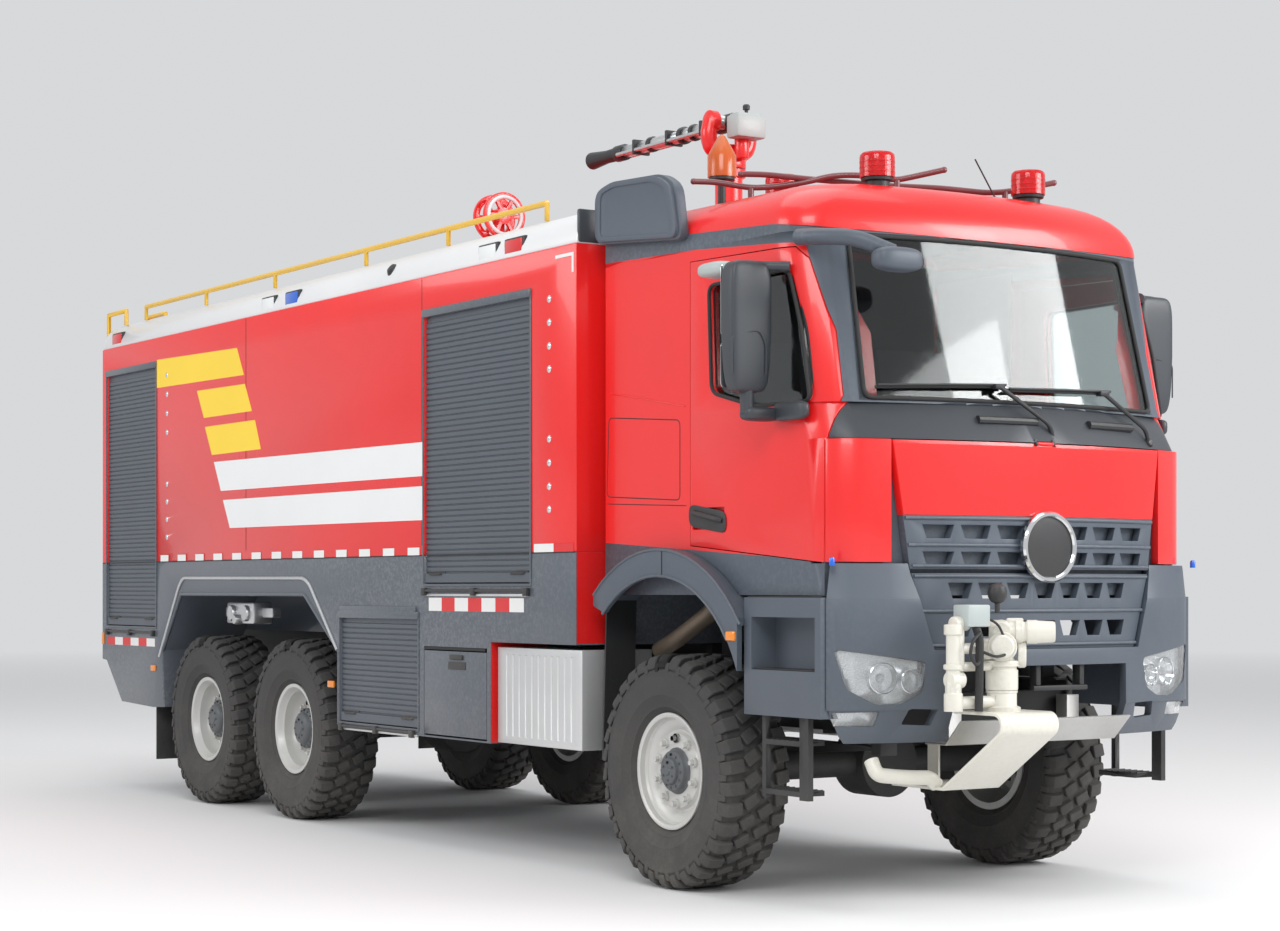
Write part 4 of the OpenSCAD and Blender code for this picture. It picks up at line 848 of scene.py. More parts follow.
def wheel_place(wheel):
    """Where a wheel stands, with its outer face turned outwards."""
    row, hand = wheel.split("_")
    turn = Matrix.Identity(4) if hand == "left" else Matrix.Rotation(math.pi, 4, "Z")
    return Matrix.Translation(at(WHEEL_X if hand == "left" else -WHEEL_X, WHEEL_Y[row], TYRE_R)) @ turn


def nut_ring(x, radius, count, size, height):
    """A ring of nuts on washers, x out from the wheel's middle."""
    nut = lathe([(0, height), (size * 0.55, height), (size * 0.62, height * 0.7),
                 (size * 0.62, height * 0.42)], ORIGIN, AXLE, 6)
    washer = lathe([(0, height * 0.43), (size * 0.92, height * 0.43), (size * 0.95, height * 0.25),
                    (size * 0.95, 0)], ORIGIN, AXLE, 16)
    o = joined([nut, washer])
    o.matrix_world = Matrix.Translation((x, 0, radius))
    settle(o)
    return round_the_axle(o, count)


RIM_LIP = [(0.262, -0.150), (0.298, -0.150), (0.300, -0.143), (0.296, -0.137), (0.279, -0.136),
           (0.262, -0.05), (0.262, 0.05), (0.279, 0.136), (0.296, 0.137), (0.3005, 0.143),
           (0.2985, 0.1505), (0.290, 0.152)]
FRONT_DISC = [(0.276, 0.146), (0.272, 0.120), (0.262, 0.108), (0.245, 0.105), (0.222, 0.086), (0.212, 0.078),
              (0.200, 0.080), (0.188, 0.096), (0.150, 0.100), (0.118, 0.099), (0.112, 0.092), (0.112, 0.070),
              (0.20, 0.062), (0.245, 0.085), (0.250, 0.05), (0.250, -0.05), (0.262, -0.150)]
REAR_DISC = [(0.276, 0.147), (0.270, 0.138), (0.262, 0.120), (0.250, 0.104), (0.246, 0.060), (0.236, 0.030),
             (0.218, 0.012), (0.196, 0.016), (0.180, 0.024), (0.120, 0.024), (0.120, 0.005), (0.240, -0.01),
             (0.250, -0.06), (0.262, -0.150)]
FRONT_HUB = [(0, 0.166), (0.018, 0.166), (0.022, 0.160), (0.060, 0.158), (0.066, 0.154), (0.070, 0.140),
             (0.098, 0.136), (0.104, 0.130), (0.108, 0.112), (0.114, 0.104), (0.120, 0.101), (0.121, 0.085),
             (0, 0.085)]
REAR_HUB = [(0, 0.121), (0.040, 0.120), (0.048, 0.114), (0.072, 0.112), (0.094, 0.104), (0.104, 0.094),
            (0.110, 0.078), (0.128, 0.070), (0.133, 0.064), (0.134, 0.030), (0.126, 0.026), (0.126, 0.010),
            (0, 0.010)]


def rim(disc, nuts_at):
    """A wheel: lip and barrel, which all six share, a dished disc, and its nuts."""
    return joined([lathe(RIM_LIP + disc, ORIGIN, AXLE, 80), nut_ring(nuts_at, *NUTS)])


def hub(outline, *rings):
    """A hub with its rings of bolts."""
    return joined([lathe(outline, ORIGIN, AXLE, 48)] + [nut_ring(*ring) for ring in rings])


master_tyre = tyre()
front = (rim(FRONT_DISC, 0.097),
         hub(FRONT_HUB, (0.134, 0.084, 12, 0.010, 0.010), (0.156, 0.045, 6, 0.009, 0.010)))
rear = (rim(REAR_DISC, 0.022),
        hub(REAR_HUB, (0.070, 0.121, 16, 0.010, 0.010), (0.112, 0.060, 8, 0.009, 0.009)))
for w in WHEELS:
    rim_master, hub_master = front if w.startswith("front") else rear
    body = "wheel_" + w
    piece(moved(master_tyre, wheel_place(w)), "tyre_tread_" + w, body, RUBBER, ["tyre_" + w], 30)
    piece(moved(rim_master, wheel_place(w)), "wheel_rim_" + w, body, RIM, ["rim_" + w], 30)
    piece(moved(hub_master, wheel_place(w)), "wheel_hub_" + w, body, HUB, (), 30)
dropped([master_tyre, *front, *rear])

# Cab

FRONT_R = 3.6            # radius of the bow of the cab's front, seen from above
# The front in side view: upright below the cowl, then the cowl's slope, then the windscreen's
COWL_Y, COWL_Z, COWL_SLOPE = -1.476, 2.241, 0.6045
PANE_Y, PANE_Z, PANE_SLOPE = -1.369, 2.418, 0.2392


def bow(x):
    """How far the bowed front falls back at x."""
    return FRONT_R - math.sqrt(FRONT_R ** 2 - x * x)


def keep_faces(o, test):
    """Keeps only the faces whose middle and normal pass a test."""
    alone(o)
    bpy.ops.object.mode_set(mode="EDIT")
    bpy.ops.mesh.select_all(action="DESELECT")
    bpy.ops.mesh.select_mode(type="FACE")
    bpy.ops.object.mode_set(mode="OBJECT")
    for face in o.data.polygons:
        face.select = not test(face.center, face.normal)
    bpy.ops.object.mode_set(mode="EDIT")
    bpy.ops.mesh.delete(type="FACE")
    bpy.ops.object.mode_set(mode="OBJECT")
    return o


def skin(node, test, thick):
    """A thin cover over those faces of a CAD node that pass a test."""
    o = keep_faces(copy_of(node), test)
    return modified(o, "SOLIDIFY", thickness=thick, offset=1, use_even_offset=True)


def on_front(x, z, lift=0.0):
    """A place on the cab's bowed front."""
    y = COWL_Y
    if z >= PANE_Z:
        y = PANE_Y + (z - PANE_Z) * PANE_SLOPE
    elif z >= COWL_Z:
        y = COWL_Y + (z - COWL_Z) * COWL_SLOPE
    return at(x, y + bow(x) - lift, z)


# Cab shell: red above its lower edge and behind the door pillar, dark pillar, drip band and front wall
BAND_TOP = [(-1.7, 3.19), (-1.354, 3.228), (-0.802, 3.297), (-0.104, 3.334), (0.80, 3.400)]
PILLAR = [(-1.7, 1.40), (-1.2035, 1.40), (-1.2035, 2.45), (-1.133, 2.76), (-1.013, 3.11), (-0.985, 3.190),
          (-0.14, 3.249), (0.80, 3.276)] + BAND_TOP[::-1]
SKIRT = [(-1.2034, 1.35), (0.80, 1.35), (0.80, 1.783), (-1.2034, 1.6628)]
dark, red = split(copy_of("cab_shell"), [prism(PILLAR), prism(SKIRT)])
above, red = split(red, [prism(BAND_TOP + [(0.80, 3.75), (-1.7, 3.75)])])
dropped(above)
piece(red, "cab_shell_red", "root", RED, ["cab_shell"], 30)
piece(dark, "cab_shell_dark", "root", PLASTIC_GREY, ["cab_shell"], 30)
for node in ("corner_panels", "front_flap"):
    dressed(node, 0.003)

# Smooth painted face of the flap
face = []
for z in (1.884, 1.95, 2.02, 2.09, 2.16, 2.219):
    half = 0.808 + (z - 1.881) * 0.147
    face.append([on_front(half * k / 24, z, 0.0012) for k in range(-24, 25)])
face = modified(sheet(face), "SOLIDIFY", thickness=0.0018, offset=1)
piece(face, "front_flap_face", "front_flap", RED, (), 40)

# Roof: one shell, rounded at its brow, sides and corners
ROOF_FRONT, ROOF_REAR, ROOF_TOP = -1.172, 0.708, 3.53


def band_top(y):
    """Height of the drip band's upper edge."""
    for (y0, z0), (y1, z1) in zip(BAND_TOP, BAND_TOP[1:]):
        if y <= y1:
            return z0 + (z1 - z0) * (y - y0) / (y1 - y0)
    return BAND_TOP[-1][1]


def roof_ring(turn):
    """Half of the roof's outline, from its rear to its front's middle, at a turn from upright to level."""
    inward, lift = 1 - math.cos(turn), math.sin(turn)
    half, front, radius = 1.1485 - 0.36 * inward, ROOF_FRONT + 0.29 * inward, 0.21 + 0.14 * inward
    reach = FRONT_R - radius
    cx = half - radius
    cy = front + FRONT_R - math.sqrt(reach ** 2 - cx ** 2)
    swing = math.asin(cx / reach)
    points = [(-half, ROOF_REAR + (cy - ROOF_REAR) * k / 24) for k in range(24)]
    points += [(-cx - radius * math.cos(a), cy - radius * math.sin(a))
               for a in ((math.pi / 2 - swing) * k / 14 for k in range(15))]
    edge = FRONT_R * math.sin(swing)
    points += [(-edge * (1 - k / 18), front + bow(edge * (1 - k / 18))) for k in range(1, 19)]
    out = []
    for x, y in points:
        low = band_top(y)
        out.append(at(x, y, low + (ROOF_TOP - low) * lift))
    return out


rings = [roof_ring(math.radians(a)) for a in (0, 4, 10, 17, 25, 34, 43, 52, 61, 70, 78, 85, 90)]
rows = [ring + [Vector((-p.x, p.y, p.z)) for p in reversed(ring[:-1])] for ring in rings]
roof_top = [[Vector((p.x * (1 - k / 8), p.y, p.z)) for p in rings[-1]] for k in range(17)]
roof_back = [[Vector((row[0].x * share, row[0].y, row[0].z)) for row in rows] for share in (1, 0.5, -0.5, -1)]
roof = tidy(joined([sheet(rows), sheet(roof_top), sheet(roof_back)]))
modified(roof, "SOLIDIFY", thickness=0.012, offset=-1)
piece(roof, "cab_roof", "root", RED, ["cab_shell"], 40)

# Red tabs of the roof's sealed joints
tabs = [block(at(x - 0.007, y - 0.03, 3.528), at(x + 0.007, y + 0.03, 3.5345), 0.002)
        for x, y in ((-0.70, 0.30), (-0.70, -0.20), (0.0, -0.70), (0.70, -0.70))]
piece(tabs, "roof_joint_tabs", "root", LAMP_RED)
for node, edge in (("cab_trim", 0.003), ("grille_upper", 0.003), ("grille_lower", 0.003),
                   ("side_deflectors", 0.006), ("front_fenders", 0.006), ("bumper", 0.006)):
    dressed(node, edge)

# Ribs along the top of each row of the grille
ribs = []
for z, half in ((1.868, 0.80), (1.740, 0.785), (1.640, 0.765), (1.592, 0.755), (1.425, 0.715), (1.262, 0.66)):
    ribs.append((z, wire([on_front(-half + half * 2 * k / 16, z, 0.001) for k in range(17)], 0.009)))
piece([o for z, o in ribs if z > 1.6], "grille_upper_ribs", "front_flap", PLASTIC_GREY)
piece([o for z, o in ribs if z < 1.6], "grille_lower_ribs", "root", PLASTIC_GREY)

# Doors with their seals, handles and linings
WINDOW = turned([(-1.110, 2.420), (-1.045, 2.760), (-0.940, 3.065), (-0.265, 3.055), (-0.290, 2.515),
                 (-0.660, 2.425)], 0.055)
LINING = [(-1.10, 1.76), (-1.10, 2.36), (-0.66, 2.38), (-0.20, 2.46), (-0.20, 1.80)]
GRIP_PLATE = turned([(-0.090, 1.962), (-0.090, 1.850), (-0.420, 1.805), (-0.420, 1.915)], 0.05)
for hand, flip in HANDS.items():
    door = "door_" + hand
    dressed(door, 0.003)
    seals = [wire([at(x, y, z) for y, z in fine(WINDOW)], radius, closed=True)
             for x, radius in ((-1.1515, 0.0095), (-1.118, 0.008))]
    piece(carried(seals, flip), "window_seal_" + hand, door, SEAL)
    grip = [at(-1.153, -0.13, 1.920), at(-1.172, -0.15, 1.916), at(-1.172, -0.35, 1.880),
            at(-1.153, -0.385, 1.872)]
    handle = [plate(behind(GRIP_PLATE), 1.15, 0.005, "right", 0.002), wire(grip, 0.013, bend=0.02)]
    piece(carried(handle, flip), "door_handle_" + hand, door, BLACK_PLASTIC)
    lining = plate(behind(LINING), 1.072, 0.010, "right", 0.003)
    piece(carried([lining], flip), "door_lining_" + hand, door, SEAT)

# Seams pressed into the cab side behind the door
HATCH = turned([(0.676, 2.445), (-0.004, 2.395), (-0.004, 1.985), (0.696, 2.023)], 0.035)
seams = [wire([at(-1.1495, y, z) for y, z in fine(HATCH)], 0.0028, closed=True),
         wire([at(-1.1495, -0.06, 1.955), at(-1.1495, 0.69, 1.985)], 0.0024)]
piece(both_sides(seams), "cab_side_seams", "root", SEAL)
crease = wire([at(-1.1475, y, z) for y, z in ((0.66, 2.575), (0.372, 2.532), (-0.05, 2.462))], 0.006)
piece(both_sides([crease]), "cab_crease", "root", RED)

# Windscreen surround
SCREEN = turned([(-0.930, 2.440), (0.930, 2.440), (0.890, 3.235), (-0.890, 3.235)], 0.045)
piece([wire([on_front(x, z, 0.002) for x, z in fine(SCREEN)], 0.011, closed=True),
       wire([on_front(x * 0.99, z, -0.03) for x, z in fine(SCREEN)], 0.012, closed=True)],
      "windscreen_seal", "root", SEAL)

# Windscreen as one smooth bowed sheet, narrower towards its top
pane = sheet([[on_front(x * (0.952 - 0.05 * k / 10), 2.428 + 0.818 * k / 10, -0.008)
               for x in (i / 14 - 1 for i in range(29))] for k in range(11)])
modified(pane, "SOLIDIFY", thickness=0.006, offset=1)
piece(pane, "windscreen_glass", "root", GLASS, ["windscreen"], 40)

# Cab lining: roof, rear wall and the walls behind the doors
piece([block(at(-0.92, -0.74, 3.440), at(0.92, 0.60, 3.452), 0.004),
       block(at(-1.06, 0.622, 1.60), at(1.06, 0.632, 3.40), 0.004),
       block(at(-1.082, -0.02, 1.60), at(-1.074, 0.62, 3.30), 0.003),
       block(at(1.074, -0.02, 1.60), at(1.082, 0.62, 3.30), 0.003)], "cab_lining", "root", SEAT)

# Round plate in the middle of the grille, left bare, and its bright ring
DISC_PLACE = at(0, -1.492, 1.733)
disc = lathe([(0, 0.024), (0.11, 0.022), (0.145, 0.016), (0.150, 0.010), (0.150, 0), (0, 0)],
             DISC_PLACE, (0, -1, 0), 48)
piece(disc, "grille_disc", "front_flap", BLACK_PLASTIC)
ring = lathe([(0.146, 0.0), (0.146, 0.022), (0.153, 0.031), (0.165, 0.031), (0.173, 0.020), (0.173, 0.0),
              (0.146, 0.0)], DISC_PLACE, (0, -1, 0), 64)
piece(ring, "grille_ring", "front_flap", CHROME)

# Wipers
SCREEN_SLOPE = 0.2385    # the wipers' own slope, a touch steeper than the glass


def on_screen(x, z, lift):
    """A place in front of the windscreen."""
    return at(x, PANE_Y + (z - PANE_Z) * SCREEN_SLOPE + bow(x) - lift, z)


def wiper(pivot, joint, left_end, right_end):
    """An arm from its pivot on the cowl, with a blade, its backbone and the pivot's cap."""
    x, z = pivot
    arm = [at(x, -1.44 + bow(x), z), at(x - 0.03, -1.45 + bow(x), z + 0.07), on_screen(*joint, 0.05)]
    middle = ((left_end[0] + right_end[0]) / 2, (left_end[1] + right_end[1]) / 2)
    blade = [on_screen(*p, 0.022) for p in (left_end, middle, right_end)]
    backbone = [p + Vector((0, -0.018, 0.008)) for p in blade]
    cap = lathe([(0, 0.03), (0.014, 0.028), (0.022, 0.018), (0.026, 0), (0, 0)],
                arm[0] + Vector((0, 0.01, 0)), (0, -1, 0.2), 20)
    clip = block(on_screen(*joint, 0.05) - Vector((0.03, 0.01, 0.012)),
                 on_screen(*joint, 0.02) + Vector((0.03, 0, 0.012)), 0.004)
    return [wire(arm, 0.011, bend=0.05), wire(blade, 0.009), wire(backbone, 0.006), cap, clip]


piece(wiper((0.088, 2.262), (-0.216, 2.513), (-0.882, 2.490), (-0.165, 2.515))
      + wiper((0.827, 2.270), (0.50, 2.510), (-0.15, 2.497), (0.564, 2.516)), "wipers", "root", BLACK_PLASTIC)

# Recesses in the cowl, black inlays with a rounded grip
inlays = [wire([on_front(x, 2.345, 0.001) for x in (x0, (x0 + x1) / 2, x1)], 0.022)
          for x0, x1 in ((-0.36, 0.0), (0.36, 0.70))]
piece(inlays, "cowl_grips", "root", BLACK_PLASTIC)

# Headlamps: clear lens, bright bowl set back behind it, round lamps
FOG_TOP = 0.97
lens = skin("headlamps", lambda c, n: n.y < -0.2 and c.z > FOG_TOP, 0.004)
piece(lens, "headlamp_lenses", "root", LAMP)
fog = skin("headlamps", lambda c, n: n.y < -0.2 and c.z < FOG_TOP, 0.004)
piece(fog, "fog_lamp_lenses", "root", LAMP)
bowl = copy_of("headlamps")
bowl.location.y += 0.030
piece(settle(bowl), "headlamp_bowls", "root", REFLECTOR, ["headlamps"], 40)


def lamp_unit(x, y, z, radius):
    """A round lamp, turned a little outwards: bright bowl with its rim, and the bulb."""
    axis = Matrix.Rotation(-0.2, 3, "Z") @ Vector((0, -1, 0))
    bowl = [(1.04, 0.02), (1, 0.022), (0.96, 0.016), (0.82, -0.012), (0.5, -0.034), (0.22, -0.04), (0, -0.04),
            (0, -0.05), (1.04, -0.05), (1.04, 0.02)]
    bulb = [(0, 0.004), (0.22, 0.0), (0.34, -0.012), (0.36, -0.03), (0, -0.04)]
    return [lathe([(radius * r, h) for r, h in outline], at(x, y, z), axis, steps)
            for outline, steps in ((bowl, 32), (bulb, 24))]


ROUND_LAMPS = [(-0.916, -1.352, 1.110, 0.072), (-0.775, -1.392, 1.096, 0.056), (-1.045, -1.275, 1.14, 0.045)]
bowls, bulbs = zip(*(lamp_unit(*spot) for spot in ROUND_LAMPS))
piece(both_sides(list(bowls)), "lamp_bowls", "root", CHROME)
piece(both_sides(list(bulbs)), "lamp_bulbs", "root", LAMP)

# Bumper monitor: cast parts made round its own axis, then turned to the parked heading

MON = (-0.475, -1.7)
PARKED = Matrix.Translation(at(*MON, 0)) @ Matrix.Rotation(math.radians(50), 4, "Z")
TILT = (0, 0, 1.33)      # the barrel's pivot

column = lathe([(0, 0.955), (0.088, 0.955), (0.088, 0.978), (0.072, 0.984), (0.068, 1.000), (0.066, 1.040),
                (0.074, 1.046), (0.074, 1.056), (0, 1.056)], at(*MON, 0))
piece(column, "monitor_column", "root", CREAM)
turret = [
    lathe([(0, 1.058), (0.074, 1.058), (0.076, 1.066), (0.076, 1.150), (0.070, 1.156), (0.070, 1.166),
           (0.082, 1.170), (0.084, 1.190), (0.080, 1.196), (0.066, 1.200), (0.060, 1.214), (0, 1.214)],
          (0, 0, 0)),
    lathe([(0, -0.090), (0.066, -0.090), (0.070, -0.084), (0.070, -0.05), (0.060, -0.045), (0.060, 0.045),
           (0.070, 0.05), (0.070, 0.084), (0.066, 0.090), (0, 0.090)], (0, 0, 1.262), (1, 0, 0)),
    wire([(0.05, 0, 1.20), (0.13, 0.0, 1.20), (0.155, 0.0, 1.28), (0.10, 0.0, 1.345)], 0.046, bend=0.06,
         sides=4),
    lathe([(0, 0), (0.054, 0), (0.056, 0.006), (0.056, 0.060), (0.050, 0.068), (0, 0.070)],
          (0.090, 0, 1.33), (1, 0, 0), 24),
    lathe([(0, 0), (0.054, 0), (0.056, 0.006), (0.056, 0.040), (0.048, 0.048), (0, 0.050)],
          (-0.075, 0, 1.262), (-1, 0, 0), 24),
    lathe([(0, 0), (0.062, 0), (0.064, 0.006), (0.064, 0.030), (0.058, 0.038), (0, 0.040)],
          (0.02, -0.075, 1.225), (0, -1, 0)),
    block((-0.06, 0.02, 1.20), (0.05, 0.10, 1.30), 0.012)]
piece(carried(turret, PARKED), "monitor_turret_cast", "bumper_monitor_turret", CREAM,
      ["bumper_monitor_turret"], 40)
barrel = [
    lathe([(0, 0.060), (0.052, 0.060), (0.056, 0.052), (0.056, -0.020), (0.050, -0.026), (0.050, -0.060),
           (0.058, -0.064), (0.058, -0.092), (0.050, -0.096), (0.046, -0.110), (0.056, -0.118),
           (0.056, -0.160), (0.053, -0.166), (0.050, -0.235), (0.046, -0.246), (0.036, -0.248),
           (0.034, -0.200), (0, -0.200)], TILT, (0, 1, 0)),
    lathe([(0, -0.060), (0.040, -0.060), (0.042, -0.054), (0.042, 0.080), (0, 0.085)], TILT, (1, 0, 0), 24),
    block((-0.022, -0.10, 1.36), (0.022, -0.02, 1.395), 0.008)]
piece(carried(barrel, PARKED), "monitor_barrel_cast", "bumper_monitor_barrel", CREAM,
      ["bumper_monitor_barrel"], 40)
knob = lathe([(0, 0.0), (0.012, 0.0), (0.013, 0.045), (0.030, 0.052), (0.044, 0.075), (0.046, 0.100),
              (0.038, 0.125), (0.020, 0.138), (0, 0.141)], at(-0.467, -1.66, 1.418))
piece(knob, "monitor_hand_knob", "bumper_monitor_turret", BLACK_PLASTIC)
gearbox = block(at(-0.735, -1.765, 1.355), at(-0.60, -1.655, 1.458), 0.008)
piece(gearbox, "monitor_motor_box", "root", MOTOR_GREY)

# Pipe stack beside the monitor, its cables, and the leads that ride the turret
STACK_Y = -1.70
# Level lengths of the stack: from, to, height, radius, sides and edge
STACK_RODS = [(-0.775, -0.69, 1.37, 0.034, 20, 0.006), (-0.80, -0.72, 1.11, 0.040, 24, 0.006),
              (-0.81, -0.63, 0.995, 0.022, 20, 0.004), (-0.78, -0.55, 1.255, 0.026, 20, 0.004),
              (-0.78, -0.55, 1.17, 0.022, 20, 0.004)]
foot = [at(-0.77, STACK_Y, 0.965), at(-0.77, STACK_Y, 1.10), at(-0.735, STACK_Y, 1.13)]
stack = [wire(foot, 0.038, bend=0.03),
         rod(at(-0.745, STACK_Y, 1.15), at(-0.745, STACK_Y, 1.37), 0.032, 20, 0.004)]
stack += [rod(at(x0, STACK_Y, z), at(x1, STACK_Y, z), *shape) for x0, x1, z, *shape in STACK_RODS]
piece(stack, "monitor_pipe_stack", "root", CREAM)


def cord(points, radius):
    """A bent cable through places measured behind the front axle."""
    return wire([at(*p) for p in points], radius, bend=0.05)


cables = [cord([(-0.655, -1.745, 0.965), (-0.66, -1.755, 1.12), (-0.655, -1.752, 1.30),
                (-0.665, -1.735, 1.36)], 0.020),
          cord([(-0.66, -1.765, 1.33), (-0.72, -1.775, 1.29), (-0.735, -1.775, 1.22), (-0.69, -1.77, 1.175),
                (-0.66, -1.762, 1.20)], 0.008)]
piece(cables, "monitor_cables", "root", HOSE)
leads = [cord([(-0.65, -1.765, 1.24), (-0.60, -1.80, 1.215), (-0.54, -1.80, 1.225), (-0.49, -1.785, 1.25)],
              0.007),
         cord([(-0.60, -1.72, 1.40), (-0.55, -1.76, 1.37), (-0.53, -1.79, 1.29), (-0.50, -1.80, 1.26)],
              0.006)]
piece(leads, "monitor_leads", "bumper_monitor_turret", HOSE)
dressed("monitor_bracket", 0.004)

# Roof monitor

RM_Y = 1.2               # its pan axis behind the front axle, in the truck's middle
RM_TILT = at(0, RM_Y, 4.225)
pillar = lathe([(0, 3.39), (0.150, 3.39), (0.150, 3.414), (0.110, 3.420), (0.080, 3.440), (0.080, 3.90),
                (0.098, 3.908), (0.100, 3.948), (0, 3.950)], at(0, RM_Y, 0))
piece(pillar, "roof_monitor_pillar", "root", RED, ["roof_monitor_base"])
turret = [lathe([(0, 3.957), (0.098, 3.957), (0.100, 3.964), (0.100, 4.02), (0.092, 4.03), (0.082, 4.04),
                 (0.078, 4.09), (0, 4.09)], at(0, RM_Y, 0))]
turret += [wire([at(0, RM_Y, 4.05), at(s * 0.12, RM_Y, 4.06), at(s * 0.145, RM_Y, 4.14),
                 at(s * 0.125, RM_Y, 4.225)], 0.048, bend=0.08, sides=4) for s in (1, -1)]
turret += [lathe([(0, 0), (0.060, 0), (0.064, 0.006), (0.064, 0.05), (0.05, 0.058), (0, 0.060)],
                 at(s * 0.092, RM_Y, 4.222), (s, 0, 0), 28) for s in (1, -1)]
turret.append(rod(at(0, 1.07, 4.0), at(0, 1.07, 4.12), 0.042, 20, 0.004))
piece(turret, "roof_monitor_turret_cast", "roof_monitor_turret", RED, ["roof_monitor_turret"], 40)
piece([block(at(-0.10, 0.965, 4.108), at(0.10, 1.085, 4.240), 0.014),
       block(at(-0.085, 0.985, 4.235), at(0.085, 1.070, 4.250), 0.006)],
      "roof_monitor_motor_box", "roof_monitor_turret", MOTOR_GREY)
knob = lathe([(0, 0), (0.010, 0), (0.010, 0.022), (0.020, 0.026), (0.021, 0.048), (0.014, 0.056), (0, 0.057)],
             at(0, 1.025, 4.248), (0, 0, 1), 24)
piece(knob, "roof_monitor_knob", "roof_monitor_turret", BLACK_PLASTIC)


def along(outline):
    """An outline of (radius, distance) turned round the roof barrel."""
    return lathe(outline, RM_TILT, (0, 1, 0), 28)


def lengths(sections):
    """Turned lengths along the roof barrel: (start, end, radius)."""
    return [along([(0, a), (r * 0.92, a), (r, a + 0.006), (r, b - 0.006), (r * 0.92, b), (0, b)])
            for a, b, r in sections]


clamps = lengths([(-0.055, 0.09, 0.053), (0.33, 0.36, 0.050), (0.44, 0.48, 0.052), (0.78, 0.82, 0.047),
                  (1.10, 1.20, 0.050)])
clamps.append(along([(0, 1.20), (0.040, 1.20), (0.042, 1.22), (0.040, 1.32), (0.054, 1.49), (0.048, 1.495),
                     (0.036, 1.40), (0, 1.40)]))
clamps += [block(at(-0.060, RM_Y + y, 4.180), at(0.060, RM_Y + y + 0.024, 4.270), 0.006)
           for y in (0.20, 0.56, 0.92)]
piece(clamps, "roof_barrel_clamps", "roof_monitor_barrel", BLACK_PLASTIC, ["roof_monitor_barrel"], 35)
tubes = lengths([(0.09, 0.33, 0.040), (0.36, 0.44, 0.040), (0.48, 1.10, 0.037)])
tubes += [rod(at(x, 1.27, 4.206), at(x, 2.33, 4.206), 0.013, 14) for x in (0.046, -0.046)]
tubes.append(rod(at(-0.08, RM_Y, 4.225), at(0.08, RM_Y, 4.225), 0.040, 24, 0.004))
piece(tubes, "roof_barrel_tubes", "roof_monitor_barrel", STEEL)

# Roof: beacons, tubes, rails, cornice lamps

BEACONS = [(-0.5, -0.8), (0.5, -0.8), (-0.5, 0.0), (0.7, 0.15)]
BEACON_FOOT = [(0, -0.03), (0.061, -0.03), (0.062, 0.004), (0.062, 0.030), (0.080, 0.034), (0.082, 0.048),
               (0.078, 0.052), (0, 0.052)]
BEACON_LENS = [(0.074, 0.050), (0.0885, 0.050), (0.0885, 0.150), (0.086, 0.164), (0.076, 0.174),
               (0.020, 0.1775), (0, 0.1775), (0, 0.172), (0.074, 0.168), (0.082, 0.150), (0.082, 0.056),
               (0.074, 0.050)]
BEACON_CORE = [(0, 0.05), (0.060, 0.05), (0.060, 0.058), (0.028, 0.062), (0.030, 0.135), (0.040, 0.150),
               (0, 0.152)]
lenses, feet, cores = [], [], []
for x, y in BEACONS:
    place = at(x, y, ROOF_TOP)
    feet.append(lathe(BEACON_FOOT, place))
    lenses.append(lathe(BEACON_LENS, place, steps=40))
    for z in (0.068, 0.094, 0.120):
        rib = [(0.0865, z), (0.0895, z + 0.004), (0.0895, z + 0.010), (0.0865, z + 0.014), (0.0865, z)]
        lenses.append(lathe(rib, place, steps=40))
    cores.append(lathe(BEACON_CORE, place, steps=24))
piece(lenses, "beacon_lenses", "root", BEACON, ["beacons"], 35)
piece(cores, "beacon_reflectors", "root", LAMP_RED)
STEM = at(-0.6, 0.41, ROOF_TOP)
feet += [rod(STEM, STEM + Vector((0, 0, 0.20)), 0.021, 16),
         lathe([(0, 0.195), (0.066, 0.195), (0.070, 0.200), (0.070, 0.214), (0, 0.216)], STEM)]
piece(feet, "beacon_feet", "root", BLACK_PLASTIC)
dome = lathe([(0.062, 0.212), (0.0775, 0.214), (0.0775, 0.328), (0.068, 0.348), (0.020, 0.435), (0, 0.449),
              (0, 0.436), (0.060, 0.340), (0.070, 0.325), (0.070, 0.218)], STEM, steps=40)
piece(dome, "amber_beacon_lens", "root", BEACON_AMBER)
core = lathe([(0, 0.214), (0.05, 0.214), (0.03, 0.23), (0.034, 0.31), (0, 0.33)], STEM, steps=24)
piece(core, "amber_beacon_reflector", "root", AMBER)

# Two bent tubes over the cab roof, on four posts
TUBES = [[(-0.981, 0.120, 3.648), (-0.888, 0.059, 3.645), (-0.732, -0.043, 3.614), (-0.640, -0.103, 3.619),
          (-0.497, -0.197, 3.642), (-0.380, -0.274, 3.678), (-0.267, -0.348, 3.681), (-0.097, -0.459, 3.655),
          (-0.041, -0.495, 3.668), (0.107, -0.592, 3.707)],
         [(-0.815, -0.070, 3.675), (-0.690, -0.119, 3.677), (-0.480, -0.201, 3.661), (-0.066, -0.363, 3.640),
          (0.190, -0.462, 3.638), (0.425, -0.554, 3.621), (0.525, -0.593, 3.629), (0.629, -0.634, 3.652),
          (0.778, -0.692, 3.686)]]
CAP = Vector((0.0165, 0.0165, 0.0165))
tubes = []
for line in TUBES:
    tubes.append(wire([at(*p) for p in line], 0.0155, bend=0.09, sides=4))
    tubes += [pebble(at(*end) - CAP, at(*end) + CAP, 2.2, 16) for end in (line[0], line[-1])]
for x, y, z in (TUBES[0][2], TUBES[0][7], TUBES[1][3], TUBES[1][6]):
    foot = at(x, y, 3.525)
    tubes += [rod(foot, at(x, y, z), 0.016, 20), rod(foot, at(x, y, 3.542), 0.034, 24, 0.004)]
